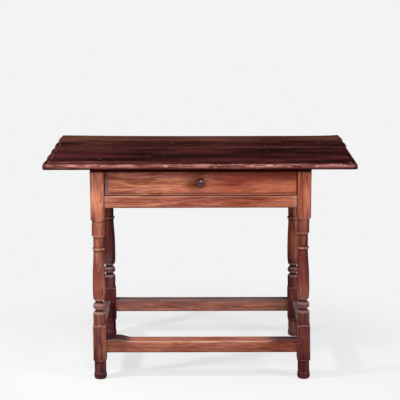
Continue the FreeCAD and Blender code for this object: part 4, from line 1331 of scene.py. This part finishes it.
class SIDETABLE_OT_drawer(bpy.types.Operator):
    """Finishes the boards of the drawer"""
    bl_idname = "side_table.drawer"
    bl_label = "Drawer"

    def execute(self, context):
        table = settings_of(context)
        arris = table.bar.board_arris
        low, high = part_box("drawer_front")
        knob = sum(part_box("drawer_knob"), Vector()) / 2
        band = [high.z - d for d in TOP_SHADE]
        groove = [low.z + d for d in LINE_LEVELS]
        touched = knob + TOUCHED

        def front_look(place):
            """Darker towards the top as painted shade under the top, red on the right, dark at its edges as
            painted shade in the gaps, dark in its line and by the knob.
            """
            up = place.z - low.z
            rise = up / (high.z - low.z)
            on_right = smooth_step(*FRONT_REDDENS, place.x)
            from_end = high.x - abs(place.x)
            end = smooth_step(*END_FADE, from_end) * (1 - on_right)
            tone = 0.98 - 0.09 * on_right - 0.35 * end
            # Painted shade: darker towards the top, under the top's overhang
            tone -= (0.46 + 0.12 * on_right) * smooth_step(0.2, 0.8, rise)
            line = smooth_step(groove[0], groove[1], place.z) * smooth_step(groove[3], groove[2], place.z)
            line *= (0.75 + 0.3 * wander(place.x * 12, 0, 0, FRONT_SEED)) * (1 - end)
            handled = math.hypot(place.x - touched.x, place.z - touched.z)
            shade = max(
                0.93 * smooth_step(*band, place.z), 0.85 * smooth_step(*END_SHADE, from_end), 0.3 * end,
                line * smooth_step(*FACE_SKIN, place.y - low.y), 0.8 * smooth_step(*LOWER_SHADE, up),
                0.2 * smooth_step(groove[1], groove[0], place.z), 0.5 * smooth_step(*TOUCH_SHADE, handled))
            return tone, shade, 0.25 * smooth_step(0.5, 0.8, rise) + 0.75 * on_right - 0.3 * end

        oak = waxed_oak(table.finish)
        raw = raw_wood(table.finish)
        mesh = worked_copy("drawer_front", "x", arris, FACE_CELL, FRONT_SEED, front_look, [*band, *groove])
        for v in mesh.vertices:
            v.co.z -= table.bar.rail_drop * smooth_step(groove[3] + FRONT_STRETCH, groove[3], v.co.z)
        placed("drawer_face_board", mesh, oak, "drawer", "frame_wood", "drawer_front")
        plan = (
            ("left_drawer_side", "drawer_side_left", "y"), ("right_drawer_side", "drawer_side_right", "y"),
            ("drawer_back_board", "drawer_back", "x"), ("front_drawer_bottom", "drawer_bottom_front", "x"),
            ("back_drawer_bottom", "drawer_bottom_back", "x"),
        )
        for seed, (name, node, axis) in enumerate(plan, FRONT_SEED + 1):
            mesh = worked_copy(node, axis, 0.6 * arris, BOARD_CELL, seed)
            placed(name, mesh, raw, "drawer", "secondary_wood", node)
        return {"FINISHED"}


class SIDETABLE_OT_runners(bpy.types.Operator):
    """Finishes the runners, guides and stops that hold the drawer"""
    bl_idname = "side_table.runners"
    bl_label = "Runners"

    def execute(self, context):
        table = settings_of(context)
        raw = raw_wood(table.finish)
        plan = (
            ("left_runner", "drawer_runner_left", "y"), ("right_runner", "drawer_runner_right", "y"),
            ("left_guide", "drawer_guide_left", "y"), ("right_guide", "drawer_guide_right", "y"),
            ("stop_blocks", "drawer_stops", "x"),
        )
        for seed, (name, node, axis) in enumerate(plan, 61):
            mesh = worked_copy(node, axis, table.bar.board_arris, BOARD_CELL, seed)
            placed(name, mesh, raw, "frame", "secondary_wood", node)
        return {"FINISHED"}


KNOB_SEED = 71
KNOB_SIDES = 48


class SIDETABLE_OT_knob(bpy.types.Operator):
    """Turns and polishes the knob of the drawer"""
    bl_idname = "side_table.knob"
    bl_label = "Knob"

    def execute(self, context):
        table = settings_of(context)
        knob = table.knob
        low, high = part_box("drawer_knob")
        face_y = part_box("drawer_front")[0].y
        shell = Shell("y", KNOB_SEED)
        profile = outline(
            (face_y - high.y, knob.shank_radius),
            (straight, (0.0, knob.shank_radius), 4),
            (straight, (0.05 * MM, knob.foot_radius), 1),
            (bead, (knob.foot_length, knob.stem_radius), 6, knob.foot_radius + 0.2 * MM),
            (straight, (knob.stem_length, knob.stem_radius), 3),
            (quarter, (knob.head_start, knob.radius), 9),
            (quarter, (face_y - low.y, knob.tip_radius), 10),
        )
        middle_z = (low.z + high.z) / 2
        rings = []
        for out, radius in profile:
            axis_z = middle_z - (knob.sag if out > 0 else 0.0)
            dirt = 0.6 * smooth_step(3 * MM, 0.0, abs(out - 1.5 * knob.foot_length))
            ring = []
            for c, s in round_circle(KNOB_SIDES):
                reach = radius * (1 + 0.012 * wander(c, s, out * 90, KNOB_SEED))
                ring.append(shell.add((reach * c, face_y - out, axis_z + reach * s), 0.0, dirt))
            rings.append(ring)
        shell.loft(rings)
        shell.piece("turned_knob", polished_knob(table.finish), "drawer", "knob_wood", "drawer_knob")
        return {"FINISHED"}


def solids_of(node):
    """Boxes of the separate solids in a CAD node."""
    bm = bmesh.new()
    bm.from_mesh(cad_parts[node].data)
    bmesh.ops.remove_doubles(bm, verts=bm.verts, dist=WELD)
    left_over = set(bm.verts)
    boxes = []
    while left_over:
        reached = [left_over.pop()]
        for v in reached:
            linked = {e.other_vert(v) for e in v.link_edges} & left_over
            left_over -= linked
            reached += linked
        corners = [v.co.copy() for v in reached]
        boxes.append((Vector(map(min, zip(*corners))), Vector(map(max, zip(*corners)))))
    bm.free()
    return sorted(boxes, key=lambda b: tuple(b[0]))


PEG_FLATS = 12
PEG_DOME = (0.7 * MM, 0.15 * MM)
PEG_FADED = (0.3, 0.5)


class SIDETABLE_OT_pegs(bpy.types.Operator):
    """Whittles the pegs of the joints and of the top"""
    bl_idname = "side_table.pegs"
    bl_label = "Pegs"

    def execute(self, context):
        table = settings_of(context)
        material = cleft_peg(table.finish)
        groups = (
            ("rail_joint_pegs", "rail_pegs"), ("stretcher_joint_pegs", "stretcher_pegs"),
            ("top_fixing_pegs", "top_pegs"), ("board_joint_dowels", "top_joint_dowels"),
        )
        for seed, (name, node) in enumerate(groups, 81):
            shell = Shell("z", seed)
            for index, (low, high) in enumerate(solids_of(node)):
                self.whittle(shell, low, high, table, node == "top_pegs", seed + index)
            shell.piece(name, material, "frame", "peg_wood", node)
        return {"FINISHED"}

    def whittle(self, shell, low, high, table, in_top, seed):
        """One peg with uneven flats, whose outer end is a little domed."""
        size = high - low
        axis = max(range(3), key=lambda k: size[k])
        middle = (low + high) / 2
        moved = Vector((stance(table.leg, middle.x, middle.y, middle.z), 0, 0))
        low, high, middle = low + moved, high + moved, middle + moved
        tone = 0.35 + 0.6 * smooth_step(*PEG_FADED, middle.z)
        outward = 1 if middle[axis] > 0 else -1
        run = size[axis]
        radius = size[(axis + 1) % 3] / 2
        if in_top:
            run -= field_height(table.top, middle.x, middle.y)
        run -= table.leg.block_wear * smooth_step(*KICKED, middle.z)
        start = low[axis] if outward > 0 else high[axis]
        domed, rounded = (1 - d / run for d in PEG_DOME)
        rings = []
        for t, narrow in ((0.0, 0.8), (0.06, 1.0), (0.5, 1.0), (domed, 0.98), (rounded, 0.86), (1.0, 0.5)):
            ring = []
            for c, s in round_circle(PEG_FLATS):
                reach = radius * narrow * (0.96 + 0.04 * wander(3 * c, 3 * s, t, seed))
                point = middle.copy()
                point[axis] = start + outward * run * t
                point[(axis + 1) % 3] += reach * c
                point[(axis + 2) % 3] += reach * s
                ring.append(shell.add(point, tone=tone))
            rings.append(ring)
        shell.loft(rings)


class SIDETABLE_OT_ironwork(bpy.types.Operator):
    """Gives the nails and the knob's pin their finish"""
    bl_idname = "side_table.ironwork"
    bl_label = "Nails and pin"

    def execute(self, context):
        finish = settings_of(context).finish
        iron = forged_iron(finish)
        peg = cleft_peg(finish)
        for node in ("runner_nails", "guide_nails", "stop_nails", "drawer_back_nails", "drawer_bottom_nails"):
            self.cover(node, iron)
        self.cover("knob_wedge", peg)
        return {"FINISHED"}

    def cover(self, node, material):
        """Gives a CAD piece that stays as it is a finish."""
        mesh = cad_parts[node].data
        mesh.materials.clear()
        mesh.materials.append(material)


class SIDETABLE_OT_stage(bpy.types.Operator):
    """Sets up the floor, the lamps, the world and the camera"""
    bl_idname = "side_table.stage"
    bl_label = "Stage"

    def execute(self, context):
        table = settings_of(context)
        stage = table.stage
        scene = context.scene
        half = stage.floor_size / 2
        mesh = bpy.data.meshes.new("paper_floor")
        corners = [(-half, -half, 0), (half, -half, 0), (half, half, 0), (-half, half, 0)]
        mesh.from_pydata(corners, [], [(0, 1, 2, 3)])
        mesh.materials.append(backdrop_paper(table.finish, stage))
        floor = bpy.data.objects.new("paper_floor", mesh)
        scene.collection.objects.link(floor)
        for side in ("front", "left", "right"):
            watts, size, place = (getattr(stage, f"{side}_{key}") for key in ("power", "size", "place"))
            self.lamp(side + "_lamp", watts, size, Vector(place), Vector(stage.lamp_aim))
        self.surroundings(scene, table.finish, stage)
        self.camera(scene, stage)
        scene.view_settings.view_transform = "Standard"
        return {"FINISHED"}

    def lamp(self, name, watts, size, place, aim):
        """Square lamp at a place, turned towards another."""
        data = bpy.data.lights.new(name, "AREA")
        data.energy = watts
        data.size = size
        lamp = bpy.data.objects.new(name, data)
        lamp.location = place
        lamp.rotation_mode = "QUATERNION"
        lamp.rotation_quaternion = (aim - place).to_track_quat("-Z", "Y")
        bpy.context.scene.collection.objects.link(lamp)

    def surroundings(self, scene, finish, stage):
        """Even light from all round, with the paper's colour where the camera or a gloss looks past it."""
        world = bpy.data.worlds.new("studio")
        scene.world = world
        world.use_nodes = True
        tree = world.node_tree
        tree.nodes.clear()
        light = add_node(tree, "ShaderNodeBackground", {"Color": linear("FFFFFF"), "Strength": stage.ambient})
        seen_paper = add_node(tree, "ShaderNodeBackground", {"Color": finish.paper, "Strength": 1.0})
        mixed = add_node(tree, "ShaderNodeMixShader", {
            0: background_seen(tree), 1: light.outputs[0], 2: seen_paper.outputs[0]})
        add_node(tree, "ShaderNodeOutputWorld", {"Surface": mixed.outputs[0]})

    def camera(self, scene, stage):
        """Camera at the place from which the table is looked at."""
        data = bpy.data.cameras.new("camera")
        data.sensor_width = stage.sensor
        data.lens = stage.lens
        data.clip_end = stage.sight
        camera = bpy.data.objects.new("camera", data)
        place = Matrix.Translation((stage.camera_x, stage.camera_y, stage.camera_z))
        pitch = Matrix.Rotation(math.pi / 2 - stage.tilt, 4, "X")
        camera.matrix_world = place @ pitch @ Matrix.Rotation(stage.roll, 4, "Z")
        scene.collection.objects.link(camera)
        scene.camera = camera


class SideTableSettings(bpy.types.PropertyGroup):
    """All settings of the table."""
    top: PointerProperty(type=TopSettings)
    leg: PointerProperty(type=LegSettings)
    bar: PointerProperty(type=BarSettings)
    knob: PointerProperty(type=KnobSettings)
    finish: PointerProperty(type=FinishSettings)
    stage: PointerProperty(type=StageSettings)


OPERATORS = (
    SIDETABLE_OT_top, SIDETABLE_OT_legs, SIDETABLE_OT_rails, SIDETABLE_OT_stretchers, SIDETABLE_OT_drawer,
    SIDETABLE_OT_runners, SIDETABLE_OT_knob, SIDETABLE_OT_pegs, SIDETABLE_OT_ironwork, SIDETABLE_OT_stage,
)


class SIDETABLE_PT_panel(bpy.types.Panel):
    """Lists the pieces of the table and their settings"""
    bl_idname = "SIDETABLE_PT_panel"
    bl_label = "Side Table"
    bl_space_type = "VIEW_3D"
    bl_region_type = "UI"
    bl_category = "Table"

    def draw(self, context):
        for operator in OPERATORS:
            self.layout.operator(operator.bl_idname)
        table = settings_of(context)
        for group in (table.top, table.leg, table.bar, table.knob, table.finish, table.stage):
            box = self.layout.box()
            for key in group.__annotations__:
                box.prop(group, key)


CLASSES = (
    TopSettings, LegSettings, BarSettings, KnobSettings, FinishSettings, StageSettings, SideTableSettings,
    *OPERATORS, SIDETABLE_PT_panel,
)


def register():
    for cls in CLASSES:
        bpy.utils.register_class(cls)
    bpy.types.Scene.side_table = PointerProperty(type=SideTableSettings)


def unregister():
    del bpy.types.Scene.side_table
    for cls in reversed(CLASSES):
        bpy.utils.unregister_class(cls)


def main():
    register()
    bpy.ops.side_table.top()
    bpy.ops.side_table.legs()
    bpy.ops.side_table.rails()
    bpy.ops.side_table.stretchers()
    bpy.ops.side_table.drawer()
    bpy.ops.side_table.runners()
    bpy.ops.side_table.knob()
    bpy.ops.side_table.pegs()
    bpy.ops.side_table.ironwork()
    bpy.ops.side_table.stage()


if __name__ == "__main__":
    main()
